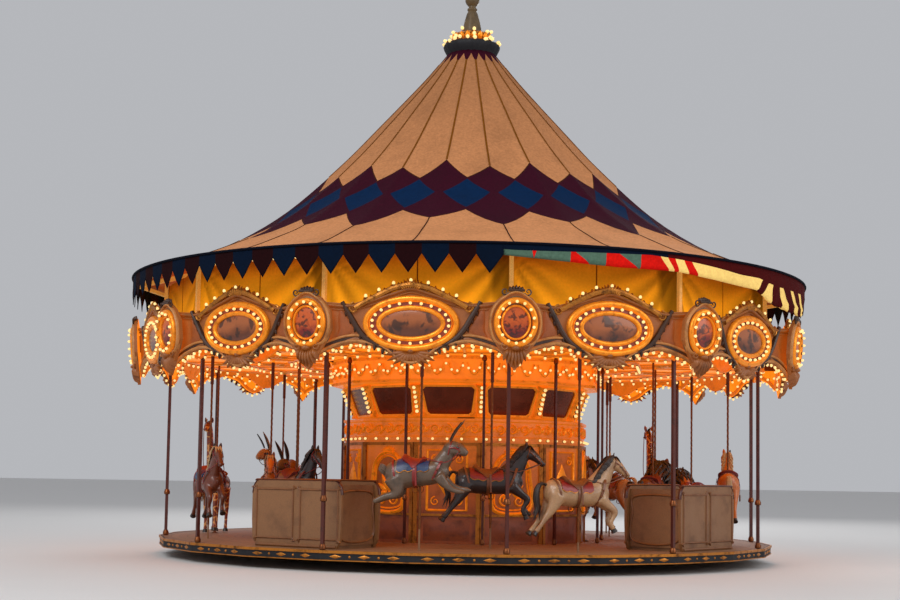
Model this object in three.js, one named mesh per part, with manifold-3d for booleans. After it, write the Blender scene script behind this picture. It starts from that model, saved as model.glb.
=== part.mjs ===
// A twelve-bay travelling carousel: fixed centre, turning platform, ceiling, rounding boards,
// bell-shaped striped roof, and carved animals, most of which rise and fall on their poles.
// Millimetres, +Z up, origin on the ground at the centre. Angles run anticlockwise seen from
// above, starting at the front (-Y), which is also the way that the ride turns.

import * as THREE from 'three';
import { mergeVertices } from 'three/addons/utils/BufferGeometryUtils.js';
import Module from 'manifold-3d';

const wasm = await Module();
wasm.setup();

// Driving dimensions
const BAYS = 12;
const BAY_ANGLE = 360 / BAYS;
const GORES = 24;
const SEAT_GAP = 0.3;
const RUNNING_GAP = 5;

const PLATFORM = { inner: 2275, outer: 5470, top: 320, thickness: 120, sides: 24 };
const FASCIA = { thickness: 32, bottom: 170, lip: 12, lipHeight: 30 };
const MAST = { radius: 160, bottom: 400, top: 9000, pinRadius: 60, pinTop: 9250, sides: 12 };
const MAST_FOOT = { radius: 320, thickness: 60 };
const MAST_COLLAR = { radius: 300, thickness: 80, taper: 40, clear: 0.5 };
const BASE = { beams: 6, length: 4380, width: 160, height: 150, hubRadius: 450 };
const CASING = { radius: 2220, wall: 60, bead: 32, beadBottom: 2060, beadTop: 2120, top: 2440 };
const SCROLL_BAND = { recess: 10, chamfer: 20, below: 60, step: 20 };
const CORNICE = { bottom: 2470, mirrorTop: 3030, lower: 2010, upper: 2190, lip: 270, wall: 60 };
const CORNICE_FOOT = { out: 25, height: 50 };
const CEILING = { inner: 2600, outer: 5360, bottom: 3500, thickness: 29.7 };
const SWEEP = { bottom: 3530, top: 3700, width: 90, hub: 420, hubTop: 4100, overlap: 60 };
const HANGER = { outer: 5400, outerWidth: 52, inner: 2555, innerWidth: 40 };
const BOARD = { apothem: 5750, centre: 3700, lean: 0.07, thickness: 50, halfWidth: 1514 };
const OVAL = { halfWidth: 725, halfHeight: 410, proud: 36, sides: 16 };
const SHIELD = { distance: 5970, thickness: 56 };
const LUG = { side: 90, bottom: 3600, top: 3900, from: -80, back: 20 };
const POST = { distance: 5520, width: 60, top: 4930 };
const CURTAIN = { radius: 5489.5, thickness: 24, bottom: 3960, top: 4800 };
const RIM = { radius: 6100, valance: 20, bandBottom: 4700, pennantBottom: 4420, pennants: 96 };
const ROLLED = { from: -1.875, to: 73.125, bottom: 4570 };
const ROOF_THICKNESS = 24;
const ROOF = [
  [445, 9350], [925, 8750], [1760, 7820], [2500, 7020],
  [3460, 6120], [4310, 5540], [4950, 5190], [RIM.radius, 4860],
];
const PEAK = { inner: 66, outer: 415, bottom: 9100, top: 9300 };
const FINIAL_CROWN = [
  [0, 9300.3], [410, 9300.3], [410, 9350.3], [460, 9350.3], [520, 9440], [535, 9490],
  [500, 9540], [340, 9590], [320, 9670], [350, 9740], [330, 9800], [250, 9870], [0, 9870],
];
const FINIAL_SPIRE = [
  [0, 9870.3], [170, 9870.3], [150, 9960], [118, 10080], [82, 10175], [94, 10215],
  [70, 10250], [75, 10290], [132, 10355], [135, 10420], [50, 10520], [14, 10700], [0, 10720],
];
const FINIAL_SIDES = { crown: 12, spire: 10 };
const RAFTER = { halfWidth: 42, halfHeight: 56, drop: 125, bends: [1, 3, 4, 5, 6] };
const RAFTER_ENDS = { inPeak: 130, upPeak: 90, inRim: 30, upRim: 20 };
const RIM_RING = { width: 60, bottom: 4780, top: 4841 };

const POLE = { radius: 21, bore: 16.5, spindle: 15.6, sides: 6, travel: 360, clear: 40 };
const SPINDLE = { root: 20, lap: 350, spare: 20 };
const HELD_IN_GUIDE = 440;
const GUIDE = { outer: 30, bore: 22, length: 520, sides: 6 };
const OUTER_ROW = 4750;
const INNER_ROW = 3560;

// Materials
const paint = (colour, roughness = 0.5, metalness = 0) =>
  new THREE.MeshStandardMaterial({ color: colour, roughness, metalness });
const PAINTS = {
  steel: () => paint(0x4a4540, 0.6, 0.6),
  navy: () => paint(0x1b2038, 0.6),
  tread: () => paint(0xa9a294, 0.8),
  amber: () => paint(0xc77a2c, 0.45),
  carved: () => paint(0x6f6152, 0.7),
  gold: () => paint(0xb98a35, 0.35, 0.7),
  cream: () => paint(0xd9c6a5, 0.85),
  ivory: () => paint(0xd8cbb4, 0.45),
  slate: () => paint(0x777571, 0.5),
  bay: () => paint(0x6b3218, 0.45),
  black: () => paint(0x241d1c, 0.45),
  tawny: () => paint(0xc8772b, 0.5),
  chariot: () => paint(0x9a8560, 0.6),
};

// Solids and joins
const radians = (degrees) => (degrees * Math.PI) / 180;

function signedVolume(geometry) {
  const p = geometry.attributes.position;
  const index = geometry.index.array;
  let sum = 0;
  for (let i = 0; i < index.length; i += 3) {
    const a = new THREE.Vector3().fromBufferAttribute(p, index[i]);
    const b = new THREE.Vector3().fromBufferAttribute(p, index[i + 1]);
    const c = new THREE.Vector3().fromBufferAttribute(p, index[i + 2]);
    sum += a.dot(b.cross(c));
  }
  return sum;
}

function closed(geometry) {
  const bare = new THREE.BufferGeometry();
  bare.setAttribute('position', geometry.attributes.position.clone());
  if (geometry.index) bare.setIndex(geometry.index.clone());
  const merged = mergeVertices(bare, 1e-3);
  if (signedVolume(merged) < 0) merged.index.array.reverse();
  return merged;
}

function solid(geometry) {
  const mesh = closed(geometry);
  const vertProperties = new Float32Array(mesh.attributes.position.array);
  const triVerts = new Uint32Array(mesh.index.array);
  return new wasm.Manifold(new wasm.Mesh({ numProp: 3, vertProperties, triVerts }));
}

function geometryOf(manifold) {
  const mesh = manifold.getMesh();
  const geometry = new THREE.BufferGeometry();
  geometry.setAttribute('position', new THREE.BufferAttribute(new Float32Array(mesh.vertProperties), 3));
  geometry.setIndex(new THREE.BufferAttribute(new Uint32Array(mesh.triVerts), 1));
  return geometry;
}

const join = (geometries) => geometries.map(solid).reduce((sum, next) => sum.add(next));

const group = new THREE.Group();

function addPiece(name, shape, material) {
  const geometry = shape.isBufferGeometry ? closed(shape) : geometryOf(shape);
  geometry.computeVertexNormals();
  const mesh = new THREE.Mesh(geometry, material);
  mesh.name = name;
  group.add(mesh);
  return mesh;
}

// Basic shapes, already turned to +Z up
function turned(profile, sides) {
  const points = profile.map(([r, z]) => new THREE.Vector2(r, z));
  return new THREE.LatheGeometry(points, sides).rotateX(Math.PI / 2);
}

function ring(inner, outer, bottom, top, sides) {
  return turned([[inner, bottom], [outer, bottom], [outer, top], [inner, top], [inner, bottom]], sides);
}

function disc(radius, bottom, top, sides) {
  return turned([[0, bottom], [radius, bottom], [radius, top], [0, top]], sides);
}

function block(width, depth, bottom, top) {
  return new THREE.BoxGeometry(width, depth, top - bottom).translate(0, 0, (bottom + top) / 2);
}

// Moves a shape made at the centre out to a distance at an angle from the front.
function placed(geometry, distance, angle) {
  return geometry.translate(0, -distance, 0).rotateZ(radians(angle));
}

function cornerAngles() {
  return Array.from({ length: BAYS }, (_, bay) => bay * BAY_ANGLE);
}

// A plate drawn in X and Z, thickness running inwards from Y = 0.
function plate(points, thickness) {
  const shape = new THREE.Shape(points.map(([x, z]) => new THREE.Vector2(x, z)));
  const flat = new THREE.ExtrudeGeometry(shape, { depth: thickness, bevelEnabled: false, steps: 1 });
  return flat.rotateX(Math.PI / 2).translate(0, thickness, 0);
}

const mirrored = (half) => [...half, ...half.filter(([x]) => x !== 0).reverse().map(([x, z]) => [-x, z])];

function ellipse(halfWidth, halfHeight, sides) {
  return Array.from({ length: sides }, (_, i) => {
    const a = (2 * Math.PI * (i + 0.5)) / sides;
    return [halfWidth * Math.sin(a), halfHeight * Math.cos(a)];
  });
}

// A bar of changing section: each station is [x, z, half width, half height], rings square to the path.
function loft(stations, sides, side = 0) {
  const flatTop = sides % 2 === 0 ? Math.PI / sides : 0;
  const bar = new THREE.CylinderGeometry(1, 1, 1, sides, stations.length - 1, false, flatTop);
  const p = bar.attributes.position;
  for (let i = 0; i < p.count; i += 1) {
    const at = Math.round((0.5 + p.getY(i)) * (stations.length - 1));
    const [x, z, halfWidth, halfHeight] = stations[at];
    const before = stations[Math.max(0, at - 1)];
    const after = stations[Math.min(stations.length - 1, at + 1)];
    const run = new THREE.Vector2(after[0] - before[0], after[1] - before[1]).normalize();
    const across = p.getX(i) * halfWidth;
    const up = p.getZ(i) * halfHeight;
    p.setXYZ(i, x - run.y * up, side + across, z + run.x * up);
  }
  return bar;
}

// Fixed centre
function baseFrame() {
  const beams = Array.from({ length: BASE.beams }, (_, i) =>
    block(BASE.width, BASE.length, 0, BASE.height).rotateZ(radians((i * 180) / BASE.beams)));
  const hub = disc(BASE.hubRadius, 0, MAST.bottom - SEAT_GAP, BAYS);
  return join([...beams, hub]);
}

function centreMast() {
  const { radius, bottom, top, pinRadius, pinTop } = MAST;
  const { radius: collar, thickness, taper, clear } = MAST_COLLAR;
  const footTop = bottom + MAST_FOOT.thickness;
  const collarTop = SWEEP.bottom - clear;
  return turned([
    [0, bottom], [MAST_FOOT.radius, bottom], [MAST_FOOT.radius, footTop], [radius, footTop],
    [radius, collarTop - thickness - taper], [collar, collarTop - thickness], [collar, collarTop],
    [radius, collarTop], [radius, top], [pinRadius, top + taper], [pinRadius, pinTop], [0, pinTop],
  ], MAST.sides);
}

function centreCasing() {
  const { radius, wall, bead, beadBottom, beadTop, top } = CASING;
  const foot = BASE.height + SEAT_GAP;
  const band = radius - SCROLL_BAND.recess;
  const bandTop = top - SCROLL_BAND.below;
  return turned([
    [radius - wall, foot], [radius, foot], [radius, beadBottom], [radius + bead, beadBottom],
    [radius + bead, beadTop], [band, beadTop + SCROLL_BAND.chamfer], [band, bandTop],
    [radius + bead, bandTop + SCROLL_BAND.step], [radius + bead, top], [radius - wall, top], [radius - wall, foot],
  ], BAYS);
}

// Turning platform
const spindleTop = () => PLATFORM.top + POLE.travel + POLE.clear + SPINDLE.lap;

function platformDeck(spindleSeats) {
  const { inner, outer, top, thickness, sides } = PLATFORM;
  const deck = ring(inner, outer, top - thickness, top, sides);
  const spindles = spindleSeats.map(([distance, angle]) =>
    placed(disc(POLE.spindle, top - SPINDLE.root, spindleTop(), POLE.sides), distance, angle));
  return join([deck, ...spindles]);
}

function platformFascia() {
  const inner = PLATFORM.outer + SEAT_GAP;
  const outer = inner + FASCIA.thickness;
  const { top, sides } = PLATFORM;
  const lipBottom = top - FASCIA.lipHeight;
  return turned([
    [inner, FASCIA.bottom], [outer, FASCIA.bottom], [outer, lipBottom], [outer + FASCIA.lip, lipBottom],
    [outer + FASCIA.lip, top], [inner, top], [inner, FASCIA.bottom],
  ], sides);
}

// Overhead frame: hub, sweeps, and the hangers that carry the platform
function sweepReach() {
  const halfBay = radians(BAY_ANGLE / 2);
  const boardBack = BOARD.apothem - BOARD.thickness - BOARD.lean * (BOARD.centre - SWEEP.bottom);
  return (boardBack - 2 * SEAT_GAP - (SWEEP.width / 2) * Math.sin(halfBay)) / Math.cos(halfBay);
}

function sweepFrame() {
  const bore = (MAST.radius + RUNNING_GAP) / Math.cos(Math.PI / MAST.sides) + 1;
  const hub = ring(bore, SWEEP.hub, SWEEP.bottom, SWEEP.hubTop, MAST.sides);
  const pieces = [hub];
  const { outer, outerWidth, inner, innerWidth } = HANGER;
  const root = SWEEP.hub - SWEEP.overlap;
  const length = sweepReach() - root;
  const middle = (sweepReach() + root) / 2;
  const foot = PLATFORM.top + SEAT_GAP;
  const head = SWEEP.bottom + SWEEP.overlap;
  for (const angle of cornerAngles()) {
    pieces.push(placed(block(SWEEP.width, length, SWEEP.bottom, SWEEP.top), middle, angle));
    pieces.push(placed(block(outerWidth, outerWidth, foot, head), outer, angle));
    pieces.push(placed(block(innerWidth, innerWidth, foot, head), inner, angle));
  }
  return join(pieces);
}

function ceiling(guideSeats) {
  const { inner, outer, bottom, thickness } = CEILING;
  const panel = ring(inner, outer, bottom, bottom + thickness, BAYS);
  const guideBottom = bottom - GUIDE.length;
  const guides = guideSeats.map(([distance, angle]) =>
    placed(disc(GUIDE.outer, guideBottom, bottom + 10, GUIDE.sides), distance, angle));
  const bores = guideSeats.map(([distance, angle]) =>
    placed(disc(GUIDE.bore, guideBottom - 1, bottom, GUIDE.sides), distance, angle));
  return bores.reduce((part, bore) => part.subtract(solid(bore)), join([panel, ...guides]));
}

function innerCornice() {
  const { bottom, mirrorTop, lower, upper, lip, wall } = CORNICE;
  const top = SWEEP.bottom - SEAT_GAP;
  const { out, height } = CORNICE_FOOT;
  return turned([
    [lower - wall, bottom], [lower + out, bottom], [lower, bottom + height], [upper, mirrorTop],
    [upper + lip, mirrorTop + SCROLL_BAND.step], [upper + lip, top],
    [upper + lip - wall, top], [upper + lip - wall, mirrorTop + wall], [upper - wall, mirrorTop + wall],
    [lower - wall, bottom],
  ], BAYS);
}

// Rounding boards: arched plate, big oval medallion at the middle, small shield over one corner
const BOARD_OUTLINE = mirrored([
  [0, 4240], [330, 4150], [900, 3990], [BOARD.halfWidth, 4040],
  [BOARD.halfWidth, 3150], [1250, 3310], [860, 3410], [440, 3330], [200, 3160], [0, 3090],
]);
const SHIELD_OUTLINE = mirrored([
  [0, 4210], [240, 4070], [390, 3880], [405, 3580], [250, 3340], [0, 3010],
]);

const leaned = (geometry) => geometry
  .translate(0, 0, -BOARD.centre)
  .rotateX(Math.atan(BOARD.lean))
  .translate(0, 0, BOARD.centre);

function medallion(halfWidth, halfHeight, sides, proud) {
  const points = ellipse(halfWidth, halfHeight, sides).map(([x, z]) => [x, z + BOARD.centre]);
  return plate(points, proud + 20).translate(0, -proud, 0);
}

function roundingBoard(bay) {
  const middle = (bay + 0.5) * BAY_ANGLE;
  const corner = middle + BAY_ANGLE / 2;
  const board = leaned(plate(BOARD_OUTLINE, BOARD.thickness));
  const oval = leaned(medallion(OVAL.halfWidth, OVAL.halfHeight, OVAL.sides, OVAL.proud));
  const shield = leaned(plate(SHIELD_OUTLINE, SHIELD.thickness).translate(0, -SHIELD.thickness, 0));
  const lug = leaned(block(LUG.side, LUG.side, LUG.bottom, LUG.top).translate(LUG.from, LUG.back, 0));
  return join([
    placed(board, BOARD.apothem, middle),
    placed(oval, BOARD.apothem, middle),
    placed(shield, SHIELD.distance, corner),
    placed(lug, SHIELD.distance, corner),
  ]);
}

// Curtain behind the posts, roof cloth, valance
function curtainWall() {
  return ring(CURTAIN.radius - CURTAIN.thickness, CURTAIN.radius, CURTAIN.bottom, CURTAIN.top, BAYS);
}

function roofInner() {
  return ROOF.map(([r, z], i) => {
    const [r0, z0] = ROOF[Math.max(0, i - 1)];
    const [r1, z1] = ROOF[Math.min(ROOF.length - 1, i + 1)];
    const run = new THREE.Vector2(r1 - r0, z1 - z0).normalize();
    const last = i === ROOF.length - 1;
    return last ? [r, z - ROOF_THICKNESS] : [r + run.y * ROOF_THICKNESS, z - run.x * ROOF_THICKNESS];
  });
}

function canopy() {
  const inner = roofInner().reverse();
  return turned([...ROOF, ...inner, ROOF[0]], GORES);
}

// Wraps a strip drawn as arc length and height round the many-sided rim.
function wrapped(strip, radius) {
  const side = radians(360 / GORES);
  const p = strip.attributes.position;
  for (let i = 0; i < p.count; i += 1) {
    const angle = p.getX(i) / RIM.radius;
    const nearest = Math.round(angle / side) * side;
    const within = side / 2 - Math.abs(angle - nearest);
    const distance = ((radius - p.getY(i)) * Math.cos(side / 2)) / Math.cos(within);
    p.setXYZ(i, distance * Math.sin(angle), -distance * Math.cos(angle), p.getZ(i));
  }
  return strip;
}

const rimArc = (angle) => radians(angle) * RIM.radius;
const valanceTop = () => ROOF.at(-1)[1] - ROOF_THICKNESS - SEAT_GAP;

function valance() {
  const pitch = 360 / RIM.pennants;
  const top = valanceTop();
  const halves = [];
  for (let left = ROLLED.to; left < 360 + ROLLED.from; left += pitch) {
    const [from, tip, to] = [left, left + pitch / 2, left + pitch].map(rimArc);
    const { bandBottom, pennantBottom } = RIM;
    halves.push([[from, top], [from, bandBottom], [tip, pennantBottom], [tip, top]]);
    halves.push([[tip, top], [tip, pennantBottom], [to, bandBottom], [to, top]]);
  }
  return join(halves.map((outline) => wrapped(plate(outline, RIM.valance), RIM.radius)));
}

function rolledValance() {
  const step = 360 / GORES;
  const panels = [];
  const first = rimArc(ROLLED.from) + SEAT_GAP;
  const last = rimArc(ROLLED.to) - SEAT_GAP;
  for (let corner = Math.floor(ROLLED.from / step) * step; corner < ROLLED.to; corner += step) {
    const from = Math.max(rimArc(corner), first);
    const to = Math.min(rimArc(corner + step), last);
    const outline = [[from, valanceTop()], [from, ROLLED.bottom], [to, ROLLED.bottom], [to, valanceTop()]];
    panels.push(wrapped(plate(outline, RIM.valance), RIM.radius));
  }
  return join(panels);
}

// Roof frame: peak ring, rafters under the seams at the corners, corner posts, rim ring
function canopyFrame() {
  const ringOuter = RIM.radius - RIM.valance - SEAT_GAP;
  const pieces = [
    ring(PEAK.inner, PEAK.outer, PEAK.bottom, PEAK.top, MAST.sides),
    ring(ringOuter - RIM_RING.width, ringOuter, RIM_RING.bottom, RIM_RING.top, BAYS),
  ];
  const bends = RAFTER.bends.map((i) => [ROOF[i][0], ROOF[i][1] - RAFTER.drop]);
  const { inPeak, upPeak, inRim, upRim } = RAFTER_ENDS;
  const line = [
    [PEAK.outer - inPeak, PEAK.bottom + upPeak], ...bends, [ringOuter - inRim, RIM_RING.bottom + upRim],
  ];
  const stations = line.map(([r, z]) => [r, z, RAFTER.halfWidth, RAFTER.halfHeight]);
  for (const angle of cornerAngles()) {
    pieces.push(loft(stations, 4).rotateZ(radians(angle - 90)));
    pieces.push(placed(block(POST.width, POST.width, SWEEP.top + SEAT_GAP, POST.top), POST.distance, angle));
  }
  return join(pieces);
}

// Animals: stations are [forward, up, half width, half height] from the point where the pole passes the back
const HORSE = {
  trunk: [[-560, 40, 70, 90], [-450, 30, 165, 190], [-200, 0, 185, 195], [80, -20, 175, 185], [330, 20, 170, 215],
    [470, 80, 80, 110]],
  neck: [[300, 60, 130, 190], [470, 300, 92, 140], [560, 460, 78, 112], [680, 450, 76, 90], [850, 275, 42, 48]],
  foreLegs: [[330, -60, 85, 100], [580, -270, 46, 52], [500, -440, 36, 40], [550, -530, 50, 50]],
  hindLegs: [[-400, -20, 100, 140], [-560, -330, 52, 62], [-680, -480, 38, 42], [-770, -590, 50, 48]],
  tail: [[-540, 90, 45, 50], [-660, 20, 60, 60], [-700, -330, 30, 40]],
  ears: { at: [560, 550], height: 110, radius: 34, spread: 45 },
  legSpread: 105,
};
const GIRAFFE = {
  trunk: [[-470, -10, 70, 90], [-380, 0, 150, 170], [-150, 40, 170, 190], [80, 90, 165, 200], [300, 150, 130, 200],
    [400, 190, 60, 90]],
  neck: [[260, 190, 110, 170], [390, 600, 72, 100], [470, 1060, 62, 84], [580, 1090, 58, 66], [690, 1010, 40, 44]],
  foreLegs: [[270, 20, 80, 110], [285, -400, 44, 50], [285, -850, 44, 44]],
  hindLegs: [[-330, -60, 90, 130], [-390, -440, 44, 50], [-360, -850, 44, 44]],
  tail: [[-460, 30, 30, 34], [-540, -60, 28, 30], [-550, -330, 34, 36]],
  ears: { at: [500, 1160], height: 110, radius: 26, spread: 36 },
  legSpread: 95,
};
const HARE = {
  trunk: [[-520, -70, 80, 90], [-420, -30, 190, 220], [-200, 20, 200, 230], [60, 10, 165, 190], [290, 60, 140, 175],
    [400, 110, 70, 90]],
  neck: [[260, 90, 110, 150], [400, 300, 100, 130], [480, 400, 115, 125], [600, 390, 92, 106], [730, 325, 38, 44]],
  foreLegs: [[300, -20, 80, 95], [430, -170, 52, 60], [560, -240, 42, 46], [660, -250, 46, 42]],
  hindLegs: [[-380, -60, 110, 170], [-330, -270, 75, 90], [-540, -340, 55, 60], [-700, -430, 46, 44]],
  tail: [[-500, 0, 60, 60], [-600, 60, 70, 70], [-640, 100, 30, 30]],
  ears: { at: [430, 500], height: 360, radius: 48, spread: 55 },
  legSpread: 120,
};
const LION = {
  trunk: [[-540, 20, 60, 80], [-440, 20, 145, 170], [-200, 0, 155, 170], [80, 0, 165, 180], [300, 40, 175, 215],
    [420, 90, 120, 150]],
  neck: [[260, 90, 190, 230], [430, 270, 215, 235], [560, 340, 170, 180], [660, 310, 95, 100], [750, 290, 62, 66]],
  foreLegs: [[320, -40, 85, 110], [450, -220, 60, 70], [560, -330, 50, 54], [640, -360, 64, 48]],
  hindLegs: [[-400, -30, 100, 140], [-440, -250, 65, 80], [-600, -360, 48, 52], [-690, -420, 62, 48]],
  tail: [[-530, 60, 32, 34], [-680, 130, 26, 28], [-780, 60, 48, 50]],
  ears: { at: [450, 460], height: 130, radius: 50, spread: 105 },
  legSpread: 115,
};

function bodyOf(form, stretch) {
  const { trunk, neck, foreLegs, hindLegs, tail, ears, legSpread } = form;
  const parts = [loft(trunk, 7), loft(neck, 5), loft(tail, 3)];
  for (const side of [-1, 1]) {
    const lift = side > 0 ? stretch : 0;
    const fore = foreLegs.map(([x, z, w, h], i) => [x + lift * i * 0.25, z + lift * i * 0.12, w, h]);
    parts.push(loft(fore, 4, side * legSpread), loft(hindLegs, 4, side * legSpread));
    const ear = new THREE.ConeGeometry(ears.radius, ears.height, 3).rotateX(Math.PI / 2);
    parts.push(ear.translate(ears.at[0], side * ears.spread, ears.at[1]));
  }
  return parts;
}

// A riser's pole is a tube that slides over the deck spindle and up into the ceiling guide;
// a stander's pole runs from the deck to the ceiling.
function animal({ form, height, jumps, rise = 0, stretch = 60 }) {
  const { radius, bore, sides, travel, clear } = POLE;
  const low = PLATFORM.top + clear + travel / 2 + rise;
  const high = CEILING.bottom - GUIDE.length + HELD_IN_GUIDE - travel / 2 + rise;
  const bottom = jumps ? low : PLATFORM.top + SEAT_GAP;
  const top = jumps ? high : CEILING.bottom - SEAT_GAP;
  const back = (jumps ? height + rise : height) + PLATFORM.top;
  const parts = bodyOf(form, stretch).map((shape) => shape.translate(0, 0, back));
  const whole = join([...parts, disc(radius, bottom, top, sides)]);
  if (!jumps) return whole;
  const boreTop = spindleTop() + travel / 2 + rise + SPINDLE.spare;
  return whole.subtract(solid(disc(bore, bottom - 1, boreTop, sides)));
}

// Where each animal stands: row distance, angle, form, coat, and how far up its stroke it rests
const MENAGERIE = [
  ['outer_hare', OUTER_ROW, -15, HARE, 'slate', 1050, 110],
  ['outer_horse_front', OUTER_ROW, 15, HORSE, 'ivory', 960, -60],
  ['outer_horse_right', OUTER_ROW, 75, HORSE, 'tawny', 960, 90],
  ['outer_lion', OUTER_ROW, 105, LION, 'tawny', 960, -110],
  ['outer_horse_back_right', OUTER_ROW, 135, HORSE, 'bay', 960, 40],
  ['outer_horse_back', OUTER_ROW, 165, HORSE, 'ivory', 960, 120],
  ['outer_horse_back_left', OUTER_ROW, 195, HORSE, 'black', 960, -90],
  ['outer_hare_back', OUTER_ROW, 225, HARE, 'ivory', 1050, 60],
  ['outer_giraffe', OUTER_ROW, 255, GIRAFFE, 'tawny', 900, null],
  ['outer_horse_left', OUTER_ROW, 285, HORSE, 'bay', 960, 20],
  ['inner_horse_front', INNER_ROW, 0, HORSE, 'black', 960, 100],
  ['inner_lion', INNER_ROW, 60, LION, 'bay', 960, null],
  ['inner_giraffe_right', INNER_ROW, 90, GIRAFFE, 'tawny', 900, null],
  ['inner_horse_right', INNER_ROW, 120, HORSE, 'ivory', 960, -40],
  ['inner_horse_back', INNER_ROW, 180, HORSE, 'tawny', 960, 80],
  ['inner_hare', INNER_ROW, 240, HARE, 'slate', 900, null],
  ['inner_horse_left', INNER_ROW, 270, HORSE, 'tawny', 960, -100],
  ['inner_horse_front_left', INNER_ROW, 300, HORSE, 'black', 960, null],
];

function addAnimal([name, distance, angle, form, coat, height, rise]) {
  const jumps = rise !== null;
  const shape = animal({ form, height, jumps, rise: rise ?? 0 });
  const mesh = addPiece(name, shape, PAINTS[coat]());
  mesh.position.set(distance * Math.sin(radians(angle)), -distance * Math.cos(radians(angle)), 0);
  mesh.rotation.z = radians(angle);
}

// Chariots: two carved sides, a floor, and two seats facing each other
const CHARIOT = { length: 1500, width: 1050, wall: 50, inner: 1030, floor: 60, lap: 10 };
const CHARIOT_BENCH = { seat: 420, depth: 420, middle: 560, back: 980, backDepth: 80, backMiddle: 740 };
const CHARIOT_SIDE = mirrored([
  [0, 1040], [700, 1040], [780, 1020], [840, 950], [870, 830], [870, 420], [850, 120], [780, 0], [0, 0],
]);

function chariot() {
  const { width, wall, inner, floor, lap, length } = CHARIOT;
  const { seat, depth, middle, back, backDepth, backMiddle } = CHARIOT_BENCH;
  const side = () => plate(CHARIOT_SIDE, wall);
  const near = side().translate(0, -width / 2, 0);
  const far = side().translate(0, width / 2 - wall, 0);
  const bottom = block(length, inner, 0, floor);
  const seats = [-1, 1].map((end) => block(depth, inner, floor - lap, seat).translate(end * middle, 0, 0));
  const backs = [-1, 1].map((end) =>
    block(backDepth, inner, floor - lap, back).translate(end * backMiddle, 0, 0));
  return join([near, far, bottom, ...seats, ...backs]);
}

const CHARIOT_SEATS = [['chariot_left', 4520, -38], ['chariot_right', 4520, 45]];

// Assembly
const risers = MENAGERIE.filter((row) => row[6] !== null).map(([, distance, angle]) => [distance, angle]);

addPiece('base_frame', baseFrame(), PAINTS.steel());
addPiece('centre_mast', centreMast(), PAINTS.steel());
addPiece('centre_casing', centreCasing(), PAINTS.amber());
addPiece('platform_deck', platformDeck(risers), PAINTS.tread());
addPiece('platform_fascia', platformFascia(), PAINTS.navy());

addPiece('sweep_frame', sweepFrame(), PAINTS.steel());
addPiece('ceiling', ceiling(risers), PAINTS.amber());
addPiece('inner_cornice', innerCornice(), PAINTS.amber());
for (let bay = 0; bay < BAYS; bay += 1) {
  addPiece(`rounding_board_${String(bay + 1).padStart(2, '0')}`, roundingBoard(bay), PAINTS.carved());
}
addPiece('curtain_wall', curtainWall(), PAINTS.cream());
addPiece('canopy_frame', canopyFrame(), PAINTS.steel());
addPiece('canopy', canopy(), PAINTS.cream());
addPiece('valance', valance(), PAINTS.navy());
addPiece('valance_rolled', rolledValance(), PAINTS.cream());
addPiece('finial_crown', turned(FINIAL_CROWN, FINIAL_SIDES.crown), PAINTS.gold());
addPiece('finial_spire', turned(FINIAL_SPIRE, FINIAL_SIDES.spire), PAINTS.gold());
MENAGERIE.forEach(addAnimal);
for (const [name, distance, angle] of CHARIOT_SEATS) {
  const mesh = addPiece(name, chariot(), PAINTS.chariot());
  const turn = radians(angle);
  mesh.position.set(distance * Math.sin(turn), -distance * Math.cos(turn), PLATFORM.top + SEAT_GAP);
  mesh.rotation.z = turn;
}

export default group;
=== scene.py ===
"""Dresses the packed frame of a twelve-bay fairground carousel: cloth, carving, lamps, animals, stage."""
import math

import bmesh
import bpy
import numpy as np
from bpy.props import FloatProperty, FloatVectorProperty, IntProperty, PointerProperty
from mathutils import Matrix, Vector


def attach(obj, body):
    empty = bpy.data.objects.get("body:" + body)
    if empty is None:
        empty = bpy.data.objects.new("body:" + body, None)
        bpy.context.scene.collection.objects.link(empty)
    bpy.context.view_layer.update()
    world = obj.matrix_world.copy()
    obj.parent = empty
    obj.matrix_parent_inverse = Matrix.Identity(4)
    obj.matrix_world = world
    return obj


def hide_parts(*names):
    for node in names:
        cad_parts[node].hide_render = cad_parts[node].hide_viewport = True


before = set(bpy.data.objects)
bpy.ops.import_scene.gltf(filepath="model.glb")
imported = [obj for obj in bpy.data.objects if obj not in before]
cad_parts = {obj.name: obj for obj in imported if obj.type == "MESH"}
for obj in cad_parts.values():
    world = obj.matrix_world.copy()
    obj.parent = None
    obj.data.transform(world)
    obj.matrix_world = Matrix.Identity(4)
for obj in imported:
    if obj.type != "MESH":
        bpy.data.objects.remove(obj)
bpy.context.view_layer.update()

bl_info = {
    "name": "Fairground carousel",
    "version": (1, 0, 0),
    "blender": (4, 5, 0),
    "location": "3D View > Sidebar > Carousel",
    "description": "Builds the cloth, carving, lamps and animals of a fairground carousel on its frame",
    "category": "Object",
}

BAYS = 12
BAY = 360 / BAYS
HALF_BAY = math.radians(BAY / 2)
GORES = 24
DECK_TOP = 0.32
BOARD_APOTHEM = 5.75
BOARD_CENTRE = 3.7
BOARD_LEAN = math.atan(0.07)
SHIELD_DISTANCE = 5.97
CORNERS = [bay * BAY for bay in range(BAYS)]
MIDDLES = [(bay + 0.5) * BAY for bay in range(BAYS)]
TREES = {}
GROUPS = {}
FINISHES = {}


# Settings that a user would change
def colour(name, description, value):
    return FloatVectorProperty(
        name=name, description=description, default=value, size=3, min=0, max=1, subtype="COLOR_GAMMA"
    )


def length(name, description, value):
    return FloatProperty(name=name, description=description, default=value, min=0, unit="LENGTH")


def number(name, description, value):
    return FloatProperty(name=name, description=description, default=value, min=0)


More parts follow.
